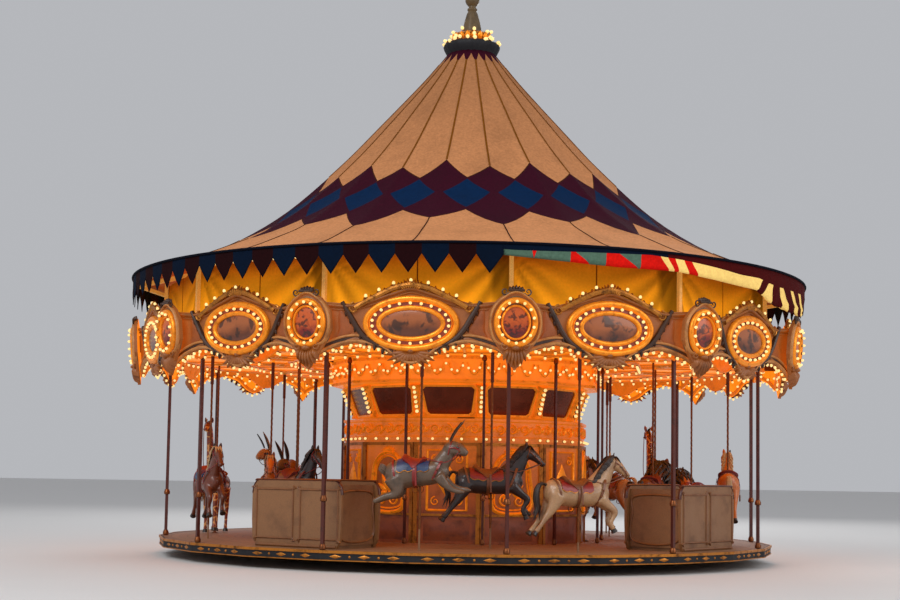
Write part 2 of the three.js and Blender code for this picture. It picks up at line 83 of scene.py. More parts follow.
class ClothSettings(bpy.types.PropertyGroup):
    """Sizes and colours of the roof, valance and curtain"""

    sag: length("Sag", "How far a gore hangs in between its seams", 0.035)
    hem: length("Hem", "Width of the dark band at the roof's edge", 0.07)
    cream: colour("Cream", "Colour of the plain canvas", (0.72, 0.485, 0.315))
    plum: colour("Plum", "Colour between the diamonds", (0.21, 0.02, 0.10))
    navy: colour("Navy", "Colour of the diamonds", (0.0, 0.13, 0.27))
    wine: colour("Wine", "Colour of the pennants between the navy ones", (0.12, 0.015, 0.025))
    curtain: colour("Curtain", "Colour of the lit cloth above the boards", (0.62, 0.35, 0.05))


class CarvingSettings(bpy.types.PropertyGroup):
    """Sizes and colours of the rounding boards and the centre"""

    moulding: length("Moulding", "Width of the mouldings along the arches", 0.05)
    taupe: colour("Taupe", "Colour of the carved boards", (0.53, 0.32, 0.15))
    umber: colour("Umber", "Colour of the ribs and deep carving", (0.26, 0.15, 0.08))
    gold: colour("Gold", "Colour of the gilt frames", (0.96, 0.57, 0.14))
    amber: colour("Amber", "Colour of the lit panels", (1.0, 0.57, 0.09))
    wine: colour("Wine", "Colour of the lamp bands", (0.42, 0.11, 0.03))


class LampSettings(bpy.types.PropertyGroup):
    """The lamp strings"""

    size: number("Size", "Size of the bulbs against their usual one", 1.0)
    glow: number("Glow", "Strength of the bulbs' light", 1.0)
    wash: number("Wash", "Strength of the light on the amber panels", 0.62)


class AnimalSettings(bpy.types.PropertyGroup):
    """The carved animals"""

    fineness: length("Fineness", "Size of the grid that the bodies are blended on", 0.017)
    smoothing: IntProperty(
        name="Smoothing", description="Rounds of smoothing on the bodies", default=7, min=0
    )


class StageSettings(bpy.types.PropertyGroup):
    """Camera and light"""

    lens: FloatProperty(
        name="Lens", description="Focal length on a 36 mm sensor, in mm", default=60.27, min=1
    )
    distance: length("Distance", "Camera to the axis of the ride", 27.81)
    eye: length("Eye height", "Camera above the ground", 1.5)
    key: number("Key light", "Power of the large soft lamp", 4400)
    sky: number("Sky light", "Strength of the even light", 0.5)


# Mesh shapes: each is (points, faces)
def turn(points, degrees):
    p = np.array(points, float)
    c, s = math.cos(math.radians(degrees)), math.sin(math.radians(degrees))
    out = p.copy()
    out[:, 0] = c * p[:, 0] - s * p[:, 1]
    out[:, 1] = s * p[:, 0] + c * p[:, 1]
    return out


def placed(shape, distance, degrees):
    """Moves a shape made at the axis, front towards -Y, out to a distance at an angle from the front."""
    return turn(np.array(shape[0], float) + (0, -distance, 0), degrees), shape[1]


def leaned(shape):
    p = np.array(shape[0], float)
    c, s = math.cos(BOARD_LEAN), math.sin(BOARD_LEAN)
    y, z = p[:, 1].copy(), p[:, 2] - BOARD_CENTRE
    p[:, 1], p[:, 2] = c * y - s * z, s * y + c * z + BOARD_CENTRE
    return p, shape[1]


def gather(shapes):
    points, faces, at = [], [], 0
    for p, f in shapes:
        points.append(np.asarray(p, float))
        faces += [[i + at for i in face] for face in f]
        at += len(p)
    return np.concatenate(points), faces


def skin(rows, closed=False, capped=False):
    """A surface through equal closed rows of points. closed joins the last row to the first."""
    rows = np.asarray(rows, float)
    n, m = rows.shape[:2]
    faces = []
    for i in range(n if closed else n - 1):
        a, b = i * m, ((i + 1) % n) * m
        for j in range(m):
            k = (j + 1) % m
            faces.append([a + j, a + k, b + k, b + j])
    if capped:
        faces.append(list(range(m))[::-1])
        faces.append(list(range((n - 1) * m, n * m)))
    return rows.reshape(-1, 3), faces


def smooth_line(points, count, ring=False):
    """count points on a curve through the given ones, evenly spaced."""
    p = np.asarray(points, float)
    n = len(p)
    spans = n if ring else n - 1
    fine = []
    for i in range(spans):
        around = [(i + k) % n if ring else min(max(i + k, 0), n - 1) for k in (-1, 0, 1, 2)]
        a, b, c, d = (p[k] for k in around)
        for t in np.linspace(0, 1, 16, endpoint=False):
            square, cube = 2 * a - 5 * b + 4 * c - d, 3 * b - a - 3 * c + d
            fine.append(0.5 * (2 * b + (c - a) * t + square * t**2 + cube * t**3))
    fine.append(p[0] if ring else p[-1])
    fine = np.array(fine)
    run = np.concatenate([[0], np.cumsum(np.linalg.norm(np.diff(fine, axis=0), axis=1))])
    at = np.linspace(0, run[-1], count, endpoint=not ring)
    return np.stack([np.interp(at, run, fine[:, k]) for k in range(fine.shape[1])], 1)


def around_circle(count):
    return np.arange(count) * 2 * math.pi / count


def directions(path, ring=False):
    p = np.asarray(path, float)
    if ring:
        t = np.roll(p, -1, 0) - np.roll(p, 1, 0)
    else:
        t = np.gradient(p, axis=0)
    return t / np.maximum(np.linalg.norm(t, axis=1, keepdims=True), 1e-9)


def bar(path, widths, heights, sides, across=(0, 1, 0), ring=False):
    """A round bar along a path: half widths lie along `across`, half heights square to it."""
    p = np.asarray(path, float)
    t = directions(p, ring)
    side = np.asarray(across, float) - t * (t @ np.asarray(across, float))[:, None]
    side /= np.maximum(np.linalg.norm(side, axis=1, keepdims=True), 1e-9)
    up = np.cross(t, side)
    w = np.broadcast_to(np.asarray(widths, float), len(p))
    h = np.broadcast_to(np.asarray(heights, float), len(p))
    rows = []
    for i in range(len(p)):
        a = around_circle(sides)
        rows.append(p[i] + np.outer(np.cos(a) * w[i], side[i]) + np.outer(np.sin(a) * h[i], up[i]))
    return skin(rows, closed=ring, capped=not ring)


def moulding(path, profile, ring=False):
    """A moulded strip on the board's face. The path is (x, z); the profile is (across, proud) points."""
    p = np.asarray(path, float)
    t = directions(p, ring)
    across = np.stack([-t[:, 1], t[:, 0]], 1)
    rows = [
        [(p[i][0] + across[i][0] * a, -proud, p[i][1] + across[i][1] * a) for a, proud in profile]
        for i in range(len(p))
    ]
    return skin(rows, closed=ring, capped=not ring)


def round_profile(width, proud, back=0.0):
    """Half-round section for a moulding, standing on its back."""
    turns = [math.pi * i / 6 for i in range(7)]
    arc = [(-math.cos(a) * width / 2, back + math.sin(a) * (proud - back)) for a in turns]
    return [(-width / 2, back - 0.01), *arc, (width / 2, back - 0.01)]


def slab(outline, front, back):
    """A plate with the given (x, z) outline, between two depths outwards."""
    n = len(outline)
    points = [(x, -front, z) for x, z in outline] + [(x, -back, z) for x, z in outline]
    faces = [list(range(n))[::-1], list(range(n, 2 * n))]
    faces += [[i, (i + 1) % n, n + (i + 1) % n, n + i] for i in range(n)]
    return np.array(points, float), faces


def dished(outline, middle, proud, back, rings=5, power=0.5):
    """A cushion-like relief: rings shrink from the outline to the middle, rising to `proud`."""
    edge = np.asarray(outline, float)
    mid = np.asarray(middle, float)
    rows = [[(x, -back, z) for x, z in edge]]
    for k in range(1, rings + 1):
        share = k / rings
        at = edge + (mid - edge) * share * 0.97
        lift = back + (proud - back) * (1 - (1 - share) ** 2) ** power
        rows.append([(x, -lift, z) for x, z in at])
    return skin(rows, capped=True)


def ellipse(half_width, half_height, count, centre):
    a = around_circle(count)
    return np.stack([centre[0] + half_width * np.sin(a), centre[1] + half_height * np.cos(a)], 1)


def turned(profile, sides, lobes=0, depth=0.0):
    """A turned shape about Z; lobes gives it gadroons."""
    rows = []
    for r, z in profile:
        a = around_circle(sides)
        radius = r * (1 - depth * 0.5 * (1 + np.cos(lobes * a))) if lobes else np.full(sides, r)
        rows.append(np.stack([radius * np.sin(a), -radius * np.cos(a), np.full(sides, z)], 1))
    return skin(rows, capped=True)


def block(x, y, z):
    """A box from three (low, high) pairs."""
    corners = [(x[i], y[j], z[k]) for k in (0, 1) for j in (0, 1) for i in (0, 1)]
    faces = [[0, 2, 3, 1], [4, 5, 7, 6], [0, 1, 5, 4], [2, 6, 7, 3], [0, 4, 6, 2], [1, 3, 7, 5]]
    return np.array(corners, float), faces


MERGE_DISTANCE = 2e-5
SLIVER = 1e-6
SHARP_ANGLE = math.radians(42)


def piece(name, shape, finish, body="turntable", rounded=True, tidy=True):
    """Makes a Blender object of a shape, gives it its finish and rides it on its body."""
    mesh = bpy.data.meshes.new(name)
    mesh.from_pydata([tuple(p) for p in shape[0]], [], [list(f) for f in shape[1]])
    mesh.materials.append(FINISHES[finish])
    if tidy:
        bm = bmesh.new()
        bm.from_mesh(mesh)
        bmesh.ops.remove_doubles(bm, verts=bm.verts, dist=MERGE_DISTANCE)
        bmesh.ops.dissolve_degenerate(bm, edges=bm.edges, dist=SLIVER)
        bmesh.ops.recalc_face_normals(bm, faces=bm.faces)
        bm.to_mesh(mesh)
        bm.free()
    mesh.polygons.foreach_set("use_smooth", [rounded] * len(mesh.polygons))
    mesh.update()
    obj = linked(name, mesh)
    if rounded:
        mesh.set_sharp_from_angle(angle=SHARP_ANGLE)
    if body:
        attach(obj, body)
    return obj


def linked(name, data):
    obj = bpy.data.objects.new(name, data)
    bpy.context.scene.collection.objects.link(obj)
    return obj


def result_of(obj):
    """A new mesh of an object with its modifiers applied."""
    depsgraph = bpy.context.evaluated_depsgraph_get()
    return bpy.data.meshes.new_from_object(obj.evaluated_get(depsgraph), depsgraph=depsgraph)


def shape_of(obj):
    """The points and faces of an object with its modifiers applied."""
    mesh = result_of(obj)
    points = np.zeros(len(mesh.vertices) * 3)
    mesh.vertices.foreach_get("co", points)
    faces = [list(p.vertices) for p in mesh.polygons]
    bpy.data.meshes.remove(mesh)
    return points.reshape(-1, 3), faces


def discard(obj):
    mesh = obj.data
    bpy.data.objects.remove(obj)
    bpy.data.meshes.remove(mesh)


# Node trees
def new_tree(name, kind, inputs, outputs):
    tree = bpy.data.node_groups.new(name, kind)
    for label, socket, default in inputs:
        made = tree.interface.new_socket(label, in_out="INPUT", socket_type=socket)
        if default is not None:
            made.default_value = default
    for label, socket in outputs:
        tree.interface.new_socket(label, in_out="OUTPUT", socket_type=socket)
    return tree, tree.nodes.new("NodeGroupInput"), tree.nodes.new("NodeGroupOutput")


def feed(tree, made, links):
    """Links sockets to a node's inputs, or sets them to plain values."""
    for socket, source in links:
        if isinstance(source, bpy.types.NodeSocket):
            tree.links.new(source, made.inputs[socket])
        else:
            made.inputs[socket].default_value = source


def node(tree, kind, links=(), **settings):
    """Adds a node; links gives (input, source socket or value) pairs."""
    made = tree.nodes.new(kind)
    for key, value in settings.items():
        setattr(made, key, value)
    feed(tree, made, links)
    return made


def maths(tree, operation, *values):
    return node(tree, "ShaderNodeMath", enumerate(values), operation=operation).outputs[0]


# Geometry Nodes: shapes repeated round the axis, and lamps on points
def finished(tree, copies, start, end, smooth=False):
    """Makes instances real, gives them the tree's finish and puts them out."""
    real = node(tree, "GeometryNodeRealizeInstances", [(0, copies.outputs[0])])
    if smooth:
        real = node(tree, "GeometryNodeSetShadeSmooth", [(0, real.outputs[0])])
    links = [("Geometry", real.outputs[0]), ("Material", start.outputs["Finish"])]
    feed(tree, end, [(0, node(tree, "GeometryNodeSetMaterial", links).outputs[0])])
    return tree


def build_axis_tree():
    """Repeats a shape round the axis of the ride."""
    inputs = [
        ("Geometry", "NodeSocketGeometry", None), ("Count", "NodeSocketInt", BAYS),
        ("Step", "NodeSocketFloat", math.radians(BAY)), ("First angle", "NodeSocketFloat", 0.0),
        ("Finish", "NodeSocketMaterial", None),
    ]
    tree, start, end = new_tree(
        "repeat_round_axis", "GeometryNodeTree", inputs, [("Geometry", "NodeSocketGeometry")]
    )
    points = node(tree, "GeometryNodePoints", [("Count", start.outputs["Count"])])
    index = node(tree, "GeometryNodeInputIndex").outputs[0]
    angle = maths(tree, "MULTIPLY_ADD", index, start.outputs["Step"], start.outputs["First angle"])
    euler = node(tree, "ShaderNodeCombineXYZ", [("Z", angle)])
    turned_by = node(tree, "FunctionNodeEulerToRotation", [(0, euler.outputs[0])])
    copies = node(
        tree, "GeometryNodeInstanceOnPoints",
        [
            ("Points", points.outputs[0]), ("Instance", start.outputs["Geometry"]),
            ("Rotation", turned_by.outputs[0])
        ]
    )
    return finished(tree, copies, start, end)


def build_lamp_tree():
    """Puts a bulb or its holder on every point, facing the way that the point's `facing` says."""
    inputs = [
        ("Geometry", "NodeSocketGeometry", None), ("Radius", "NodeSocketFloat", 0.026),
        ("Stretch", "NodeSocketFloat", 1.25), ("Offset", "NodeSocketFloat", 0.0),
        ("Finish", "NodeSocketMaterial", None)
    ]
    tree, start, end = new_tree(
        "lamps_on_points", "GeometryNodeTree", inputs, [("Geometry", "NodeSocketGeometry")]
    )
    facing = node(tree, "GeometryNodeInputNamedAttribute", [("Name", "facing")], data_type="FLOAT_VECTOR")
    aligned = node(
        tree, "FunctionNodeAlignRotationToVector", [("Vector", facing.outputs["Attribute"])], axis="Z"
    )
    ball = node(
        tree, "GeometryNodeMeshUVSphere",
        [("Segments", 8), ("Rings", 5), ("Radius", start.outputs["Radius"])]
    )
    shift = node(tree, "ShaderNodeCombineXYZ", [("Z", start.outputs["Offset"])])
    stretch = node(
        tree, "ShaderNodeCombineXYZ", [("X", 1.0), ("Y", 1.0), ("Z", start.outputs["Stretch"])]
    )
    shaped = node(
        tree, "GeometryNodeTransform",
        [("Geometry", ball.outputs[0]), ("Translation", shift.outputs[0]), ("Scale", stretch.outputs[0])],
    )
    copies = node(
        tree, "GeometryNodeInstanceOnPoints",
        [
            ("Points", start.outputs["Geometry"]), ("Instance", shaped.outputs[0]),
            ("Rotation", aligned.outputs[0])
        ]
    )
    return finished(tree, copies, start, end, smooth=True)


def grown(obj, tree, values, body):
    """Runs a tree on an object, keeps the result as its plain mesh, and rides it on its body."""
    modifier = obj.modifiers.new("grow", "NODES")
    modifier.node_group = tree
    for item in tree.interface.items_tree:
        if item.in_out == "INPUT" and item.name in values:
            modifier[item.identifier] = values[item.name]
    bpy.context.view_layer.update()
    made = result_of(obj)
    obj.modifiers.clear()
    obj.data = made
    made.name = obj.name
    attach(obj, body)


def around(name, shape, finish, count=BAYS, first=0.0, step=BAY, body="turntable", slot=None):
    """One shape, made at the front, repeated round the axis as one piece."""
    obj = piece(name, shape, finish, None)
    values = {
        "Count": count, "Step": math.radians(step), "First angle": math.radians(first),
        "Finish": FINISHES[finish]
    }
    grown(obj, TREES["axis"], values, body)


def on_spots(name, spots, finish, radius, stretch, offset, body="turntable"):
    """A ball on every spot, which is a (point, facing) pair."""
    mesh = bpy.data.meshes.new(name)
    mesh.from_pydata([tuple(p) for p, _ in spots], [], [])
    attribute = mesh.attributes.new("facing", "FLOAT_VECTOR", "POINT")
    attribute.data.foreach_set("vector", np.array([f for _, f in spots], float).ravel())
    values = {"Radius": radius, "Stretch": stretch, "Offset": offset, "Finish": FINISHES[finish]}
    grown(linked(name, mesh), TREES["lamp"], values, body)


def lamps(name, spots, radius, body="turntable"):
    """A string of bulbs and one of their holders."""
    radius *= bpy.context.scene.carousel_lamps.size
    on_spots(f"{name}_bulbs", spots, "bulb_glass", radius, 1.2, radius * 1.15, body)
    on_spots(f"{name}_holders", spots, "brass", radius * 1.05, 0.55, 0.0, body)


# Shader groups: each puts out only colours, masks and heights that change over the surface
SLEEVE_TOPS = (3.46, 3.49)
# Heights and shares for the painted lamplight on the roof cloth: lighter towards its foot, darker towards
# its peak
ROOF_LAMPLIGHT = (5.0, 8.8, 1.30, 0.84)
# Heights over which the curtain's painted glow goes from bright at its foot to dark at its top
CURTAIN_LAMPLIGHT_HEIGHTS = (4.0, 4.75)
HORIZON = (3.74, 3.92)


def ranged(tree, value, low, high, first=0.0, last=1.0, smooth=False):
    """Carries a value over from one range to another."""
    links = [(0, value), (1, low), (2, high), (3, first), (4, last)]
    kind = "SMOOTHSTEP" if smooth else "LINEAR"
    return node(tree, "ShaderNodeMapRange", links, interpolation_type=kind).outputs[0]


def scaled(tree, colour, share):
    return node(
        tree, "ShaderNodeVectorMath", [(0, colour), ("Scale", share)], operation="SCALE"
    ).outputs[0]


def blend(tree, share, first, second):
    return node(tree, "ShaderNodeMix", [(0, share), (6, first), (7, second)], data_type="RGBA").outputs[2]


def noise(tree, where, scale, detail, roughness=0.5, distortion=0.0):
    links = [
        ("Vector", where), ("Scale", scale), ("Detail", detail), ("Roughness", roughness),
        ("Distortion", distortion)
    ]
    return node(tree, "ShaderNodeTexNoise", links).outputs["Fac"]


def bumps(tree, strength, distance, height):
    links = [("Strength", strength), ("Distance", distance), ("Height", height)]
    return node(tree, "ShaderNodeBump", links).outputs[0]


def object_place(tree):
    return node(tree, "ShaderNodeTexCoord").outputs["Object"]


def build_aging_group():
    """Mottles a colour, darkens it with grime in patches, and gives a height for its bumps."""
    inputs = [
        ("Colour", "NodeSocketColor", (0.5, 0.5, 0.5, 1)),
        ("Grime", "NodeSocketColor", (0.1, 0.07, 0.05, 1)), ("Scale", "NodeSocketFloat", 3.0),
        ("Amount", "NodeSocketFloat", 0.4), ("Speckle", "NodeSocketFloat", 60.0)
    ]
    outputs = [
        ("Colour", "NodeSocketColor"), ("Roughness", "NodeSocketFloat"), ("Height", "NodeSocketFloat")
    ]
    tree, start, end = new_tree("aged_surface", "ShaderNodeTree", inputs, outputs)
    where = object_place(tree)
    broad = noise(tree, where, start.outputs["Scale"], 6.0, roughness=0.6)
    fine = noise(tree, where, start.outputs["Speckle"], 3.0)
    patches = ranged(tree, broad, 0.45, 0.78, 0.0, start.outputs["Amount"], smooth=True)
    grimy = blend(tree, patches, start.outputs["Colour"], start.outputs["Grime"])
    speckled = scaled(tree, grimy, ranged(tree, fine, 0.3, 0.7, 0.86, 1.1))
    feed(
        tree, end, [("Colour", speckled), ("Roughness", ranged(tree, broad, 0.3, 0.7)), ("Height", fine)]
    )
    return tree


def build_weave_group():
    """Threads crossing at right angles on the piece's own UV map, in threads per metre."""
    inputs = [("Threads", "NodeSocketFloat", 260.0), ("Slub", "NodeSocketFloat", 0.35)]
    tree, start, end = new_tree(
        "canvas_weave", "ShaderNodeTree", inputs,
        [("Height", "NodeSocketFloat"), ("Shade", "NodeSocketFloat")]
    )
    where = node(tree, "ShaderNodeUVMap").outputs[0]
    apart = node(tree, "ShaderNodeSeparateXYZ", [(0, where)])
    waves = [
        maths(tree, "SINE", maths(tree, "MULTIPLY", apart.outputs[axis], start.outputs["Threads"]))
        for axis in (0, 1)
    ]
    cross = maths(tree, "MULTIPLY", *waves)
    slubs = noise(tree, where, 9.0, 5.0, roughness=0.7)
    shade = maths(tree, "MULTIPLY_ADD", slubs, start.outputs["Slub"], cross)
    feed(tree, end, [("Height", shade), ("Shade", slubs)])
    return tree


def build_bearing_group():
    """Angle from the front in degrees, distance from the axis and height, on Object coordinates."""
    outputs = [
        ("Angle", "NodeSocketFloat"), ("Distance", "NodeSocketFloat"), ("Height", "NodeSocketFloat")
    ]
    tree, _, end = new_tree("bearing_from_axis", "ShaderNodeTree", [], outputs)
    x, y, z = node(tree, "ShaderNodeSeparateXYZ", [(0, object_place(tree))]).outputs
    angle = maths(tree, "ARCTAN2", x, maths(tree, "MULTIPLY", y, -1.0))
    level = node(tree, "ShaderNodeCombineXYZ", [("X", x), ("Y", y)])
    distance = node(tree, "ShaderNodeVectorMath", [(0, level.outputs[0])], operation="LENGTH")
    feed(
        tree, end,
        [("Angle", maths(tree, "DEGREES", angle)), ("Distance", distance.outputs["Value"]), ("Height", z)]
    )
    return tree


def group(tree, kind, links=()):
    return node(tree, "ShaderNodeGroup", links, node_tree=GROUPS[kind])


def rgba(colour_value):
    """A display colour as a linear one with alpha."""
    linear = [((c + 0.055) / 1.055) ** 2.4 if c > 0.04045 else c / 12.92 for c in colour_value]
    return (*[min(c, 1.0) for c in linear], 1.0)


def aging(tree, colour_value, grime, scale=3.0, amount=0.4, speckle=60.0):
    links = [
        ("Colour", rgba(colour_value)), ("Grime", rgba(grime)), ("Scale", scale), ("Amount", amount),
        ("Speckle", speckle),
    ]
    return group(tree, "aged", links)


def new_material(name):
    material = bpy.data.materials.new(name)
    material.use_nodes = True
    tree = material.node_tree
    return material, tree, tree.nodes["Principled BSDF"]


def aged(
    name, base, grime, rough=(0.35, 0.6), metal=0.0, scale=3.0, amount=0.5, speckle=60.0, bump=0.15,
    coat=0.0, glow=0.0, glow_colour=None, painted_shade_heights=None, sleeves=None
):
    """A painted, gilt or wooden finish with grime in patches and a fine bump.

    Between two given heights its colour and glow come up to their full strength from below, a painted
    shade that darkens it towards the floor; sleeves is the colour of what hangs below the ceiling, and a
    glow is lamplight painted on a surface that is no lamp.
    """
    material, tree, shader = new_material(name)
    surface = aging(tree, base, grime, scale, amount, speckle)
    base_here, shares = surface.outputs["Colour"], []
    if painted_shade_heights or sleeves:
        height = group(tree, "bearing").outputs["Height"]
    # painted shade: darker towards the floor below the second given height, and without glow at the first
    if painted_shade_heights:
        shares.append(ranged(tree, height, *painted_shade_heights))
        base_here = scaled(tree, base_here, ranged(tree, shares[0], 0.0, 1.0, 0.45, 1.0))
    if sleeves:
        shares.append(ranged(tree, height, *SLEEVE_TOPS))
        base_here = blend(tree, shares[-1], rgba(sleeves), base_here)
    feed(
        tree, shader,
        [
            ("Base Color", base_here),
            ("Roughness", ranged(tree, surface.outputs["Roughness"], 0.0, 1.0, *rough)),
            ("Normal", bumps(tree, bump, 0.004, surface.outputs["Height"])), ("Metallic", metal),
            ("Coat Weight", coat), ("Coat Roughness", 0.15)
        ]
    )
    # painted light: the glow is lamplight painted on a surface that is no lamp
    if glow:
        lit = aging(tree, glow_colour, grime, scale * 0.5, 0.35, speckle).outputs["Colour"]
        for share in shares:
            lit = scaled(tree, lit, share)
        feed(tree, shader, [("Emission Strength", glow), ("Emission Color", lit)])
    return material


def canvas(name, base, grime, glow=0.0, glow_colour=None, glow_top=None, paint_fold_light=False, lamplit_low=False):
    """Woven cloth on the piece's own UV map, with slubs, faint stains and a soft sheen; it can carry
    painted light: lamplight painted lighter low on the roof and darker near its peak, painted shadows and
    highlights on the curtain's pleats, and a glow painted as lamplight through the cloth, brighter at its
    foot.
    """
    material, tree, shader = new_material(name)
    weave = group(tree, "weave", [("Threads", 1400.0), ("Slub", 0.5)])
    surface = aging(tree, base, grime, 1.3, 0.25, 25.0)
    shade = ranged(tree, weave.outputs["Shade"], 0.3, 0.7, 0.9, 1.08)
    cloth = scaled(tree, surface.outputs["Colour"], shade)
    if lamplit_low or glow:
        height = group(tree, "bearing").outputs["Height"]
    # painted light: the roof cloth is made lighter towards its foot and darker towards its peak
    if lamplit_low:
        cloth = scaled(tree, cloth, ranged(tree, height, *ROOF_LAMPLIGHT))
    # painted light: a point attribute darkens the cloth in painted shadows and lightens it in painted
    # highlights
    if paint_fold_light:
        painted_fold_light = node(tree, "ShaderNodeAttribute", attribute_name="painted_fold_light").outputs["Fac"]
        cloth = scaled(tree, cloth, painted_fold_light)
    feed(
        tree, shader,
        [
            ("Base Color", cloth), ("Normal", bumps(tree, 0.2, 0.002, weave.outputs["Height"])),
            ("Roughness", 0.85), ("Specular IOR Level", 0.08)
        ]
    )
    if glow:
        # painted light: the cloth glows though it is no lamp, from the bright colour at its foot to the
        # dark one at its top, mixed with the cloth's own colour
        lit = blend(
            tree, ranged(tree, height, *CURTAIN_LAMPLIGHT_HEIGHTS), rgba(glow_colour), rgba(glow_top or glow_colour)
        )
        tinted = blend(tree, 0.25, lit, cloth)
        # the painted shadows and highlights of the pleats shade the glow too
        if paint_fold_light:
            tinted = scaled(tree, tinted, painted_fold_light)
        feed(tree, shader, [("Emission Strength", glow), ("Emission Color", tinted)])
    return material


def two_faced_board(name, outside, inside, grime, glow):
    """Carved wood whose side towards the axis is the lit amber of the ceiling; its glow is painted
    lamplight, amber on that side and a faint brown on the outer face.
    """
    material, tree, shader = new_material(name)
    outer = aging(tree, outside, grime, 2.2, 0.75)
    inner = aging(tree, inside, (0.76, 0.34, 0.05), 3.0, 0.5).outputs["Colour"]
    here = node(tree, "ShaderNodeTexCoord")
    level = node(
        tree, "ShaderNodeVectorMath", [(0, here.outputs["Object"]), (1, (1.0, 1.0, 0.0))],
        operation="MULTIPLY"
    )
    facing = node(
        tree, "ShaderNodeVectorMath", [(0, level.outputs[0]), (1, here.outputs["Normal"])],
        operation="DOT_PRODUCT"
    )
    back = ranged(tree, facing.outputs["Value"], -0.5, -1.5)
    feed(
        tree, shader,
        [
            ("Base Color", blend(tree, back, outer.outputs["Colour"], inner)),
            # painted lamplight: a faint brown glow on the outer face and an amber one on the inner face
            ("Emission Color", blend(tree, back, rgba((0.42, 0.20, 0.04)), inner)),
            ("Emission Strength", glow * 1.3),
            ("Normal", bumps(tree, 0.3, 0.006, outer.outputs["Height"])), ("Roughness", 0.55)
        ]
    )
    return material


def planked_deck(name):
    """Tread boards laid in rings round the axis, with dark joints, grain and grime in patches."""
    material, tree, shader = new_material(name)
    bearing = group(tree, "bearing")
    boards = maths(tree, "MULTIPLY", bearing.outputs["Distance"], 7.2)
    joint = ranged(tree, maths(tree, "FRACT", boards), 0.0, 0.07, 1.0, 0.0, smooth=True)
    row = maths(tree, "FLOOR", boards)
    tint = node(tree, "ShaderNodeTexWhiteNoise", [("W", row)], noise_dimensions="1D").outputs["Value"]
    along = maths(tree, "MULTIPLY", bearing.outputs["Angle"], 0.08)
    stretched = node(tree, "ShaderNodeCombineXYZ", [("X", along), ("Y", boards), ("Z", row)]).outputs[0]
    grain = noise(tree, stretched, 5.0, 8.0, distortion=0.6)
    surface = aging(tree, (0.47, 0.33, 0.22), (0.16, 0.10, 0.07), 1.6, 0.8)
    wood = blend(tree, grain, surface.outputs["Colour"], rgba((0.60, 0.44, 0.30)))
    varied = scaled(tree, wood, ranged(tree, tint, 0.0, 1.0, 0.82, 1.12))
    feed(tree, shader, [
        ("Base Color", blend(tree, joint, varied, rgba((0.07, 0.05, 0.04)))),
        ("Normal", bumps(tree, 0.4, 0.006, maths(tree, "SUBTRACT", grain, joint))), ("Roughness", 0.62),
    ])
    return material


def painted_scene(name, sky, land, mark, scale):
    """A generic painted landscape for the medallions: banded sky and ground with soft brush marks."""
    material, tree, shader = new_material(name)
    here = object_place(tree)
    height = node(tree, "ShaderNodeSeparateXYZ", [(0, here)]).outputs[2]
    wander = maths(tree, "MULTIPLY_ADD", noise(tree, here, scale, 5.0, distortion=1.2), 0.35, height)
    marks = noise(tree, here, scale * 2.4, 6.0, distortion=0.4)
    view = blend(tree, ranged(tree, wander, *HORIZON, smooth=True), rgba(land), rgba(sky))
    painted = blend(tree, ranged(tree, marks, 0.50, 0.60, 0.0, 0.8, smooth=True), view, rgba(mark))
    # the emission paints lamplight on the picture, which is no lamp
    feed(tree, shader, [
        ("Base Color", painted), ("Emission Color", painted), ("Emission Strength", 0.25),
        ("Normal", bumps(tree, 0.25, 0.003, marks)), ("Roughness", 0.35), ("Coat Weight", 0.3),
    ])
    return material


def spotted(name, base, spot, scale):
    """A painted coat with irregular patches, as on the giraffes."""
    material, tree, shader = new_material(name)
    links = [("Vector", object_place(tree)), ("Scale", scale)]
    cells = node(tree, "ShaderNodeTexVoronoi", links, feature="DISTANCE_TO_EDGE").outputs["Distance"]
    patch = aging(tree, spot, (0.12, 0.05, 0.02), 4.0, 0.6).outputs["Colour"]
    coat = blend(tree, ranged(tree, cells, 0.05, 0.11, smooth=True), rgba(base), patch)
    feed(tree, shader, [("Base Color", coat), ("Roughness", 0.38), ("Coat Weight", 0.4)])
    return material


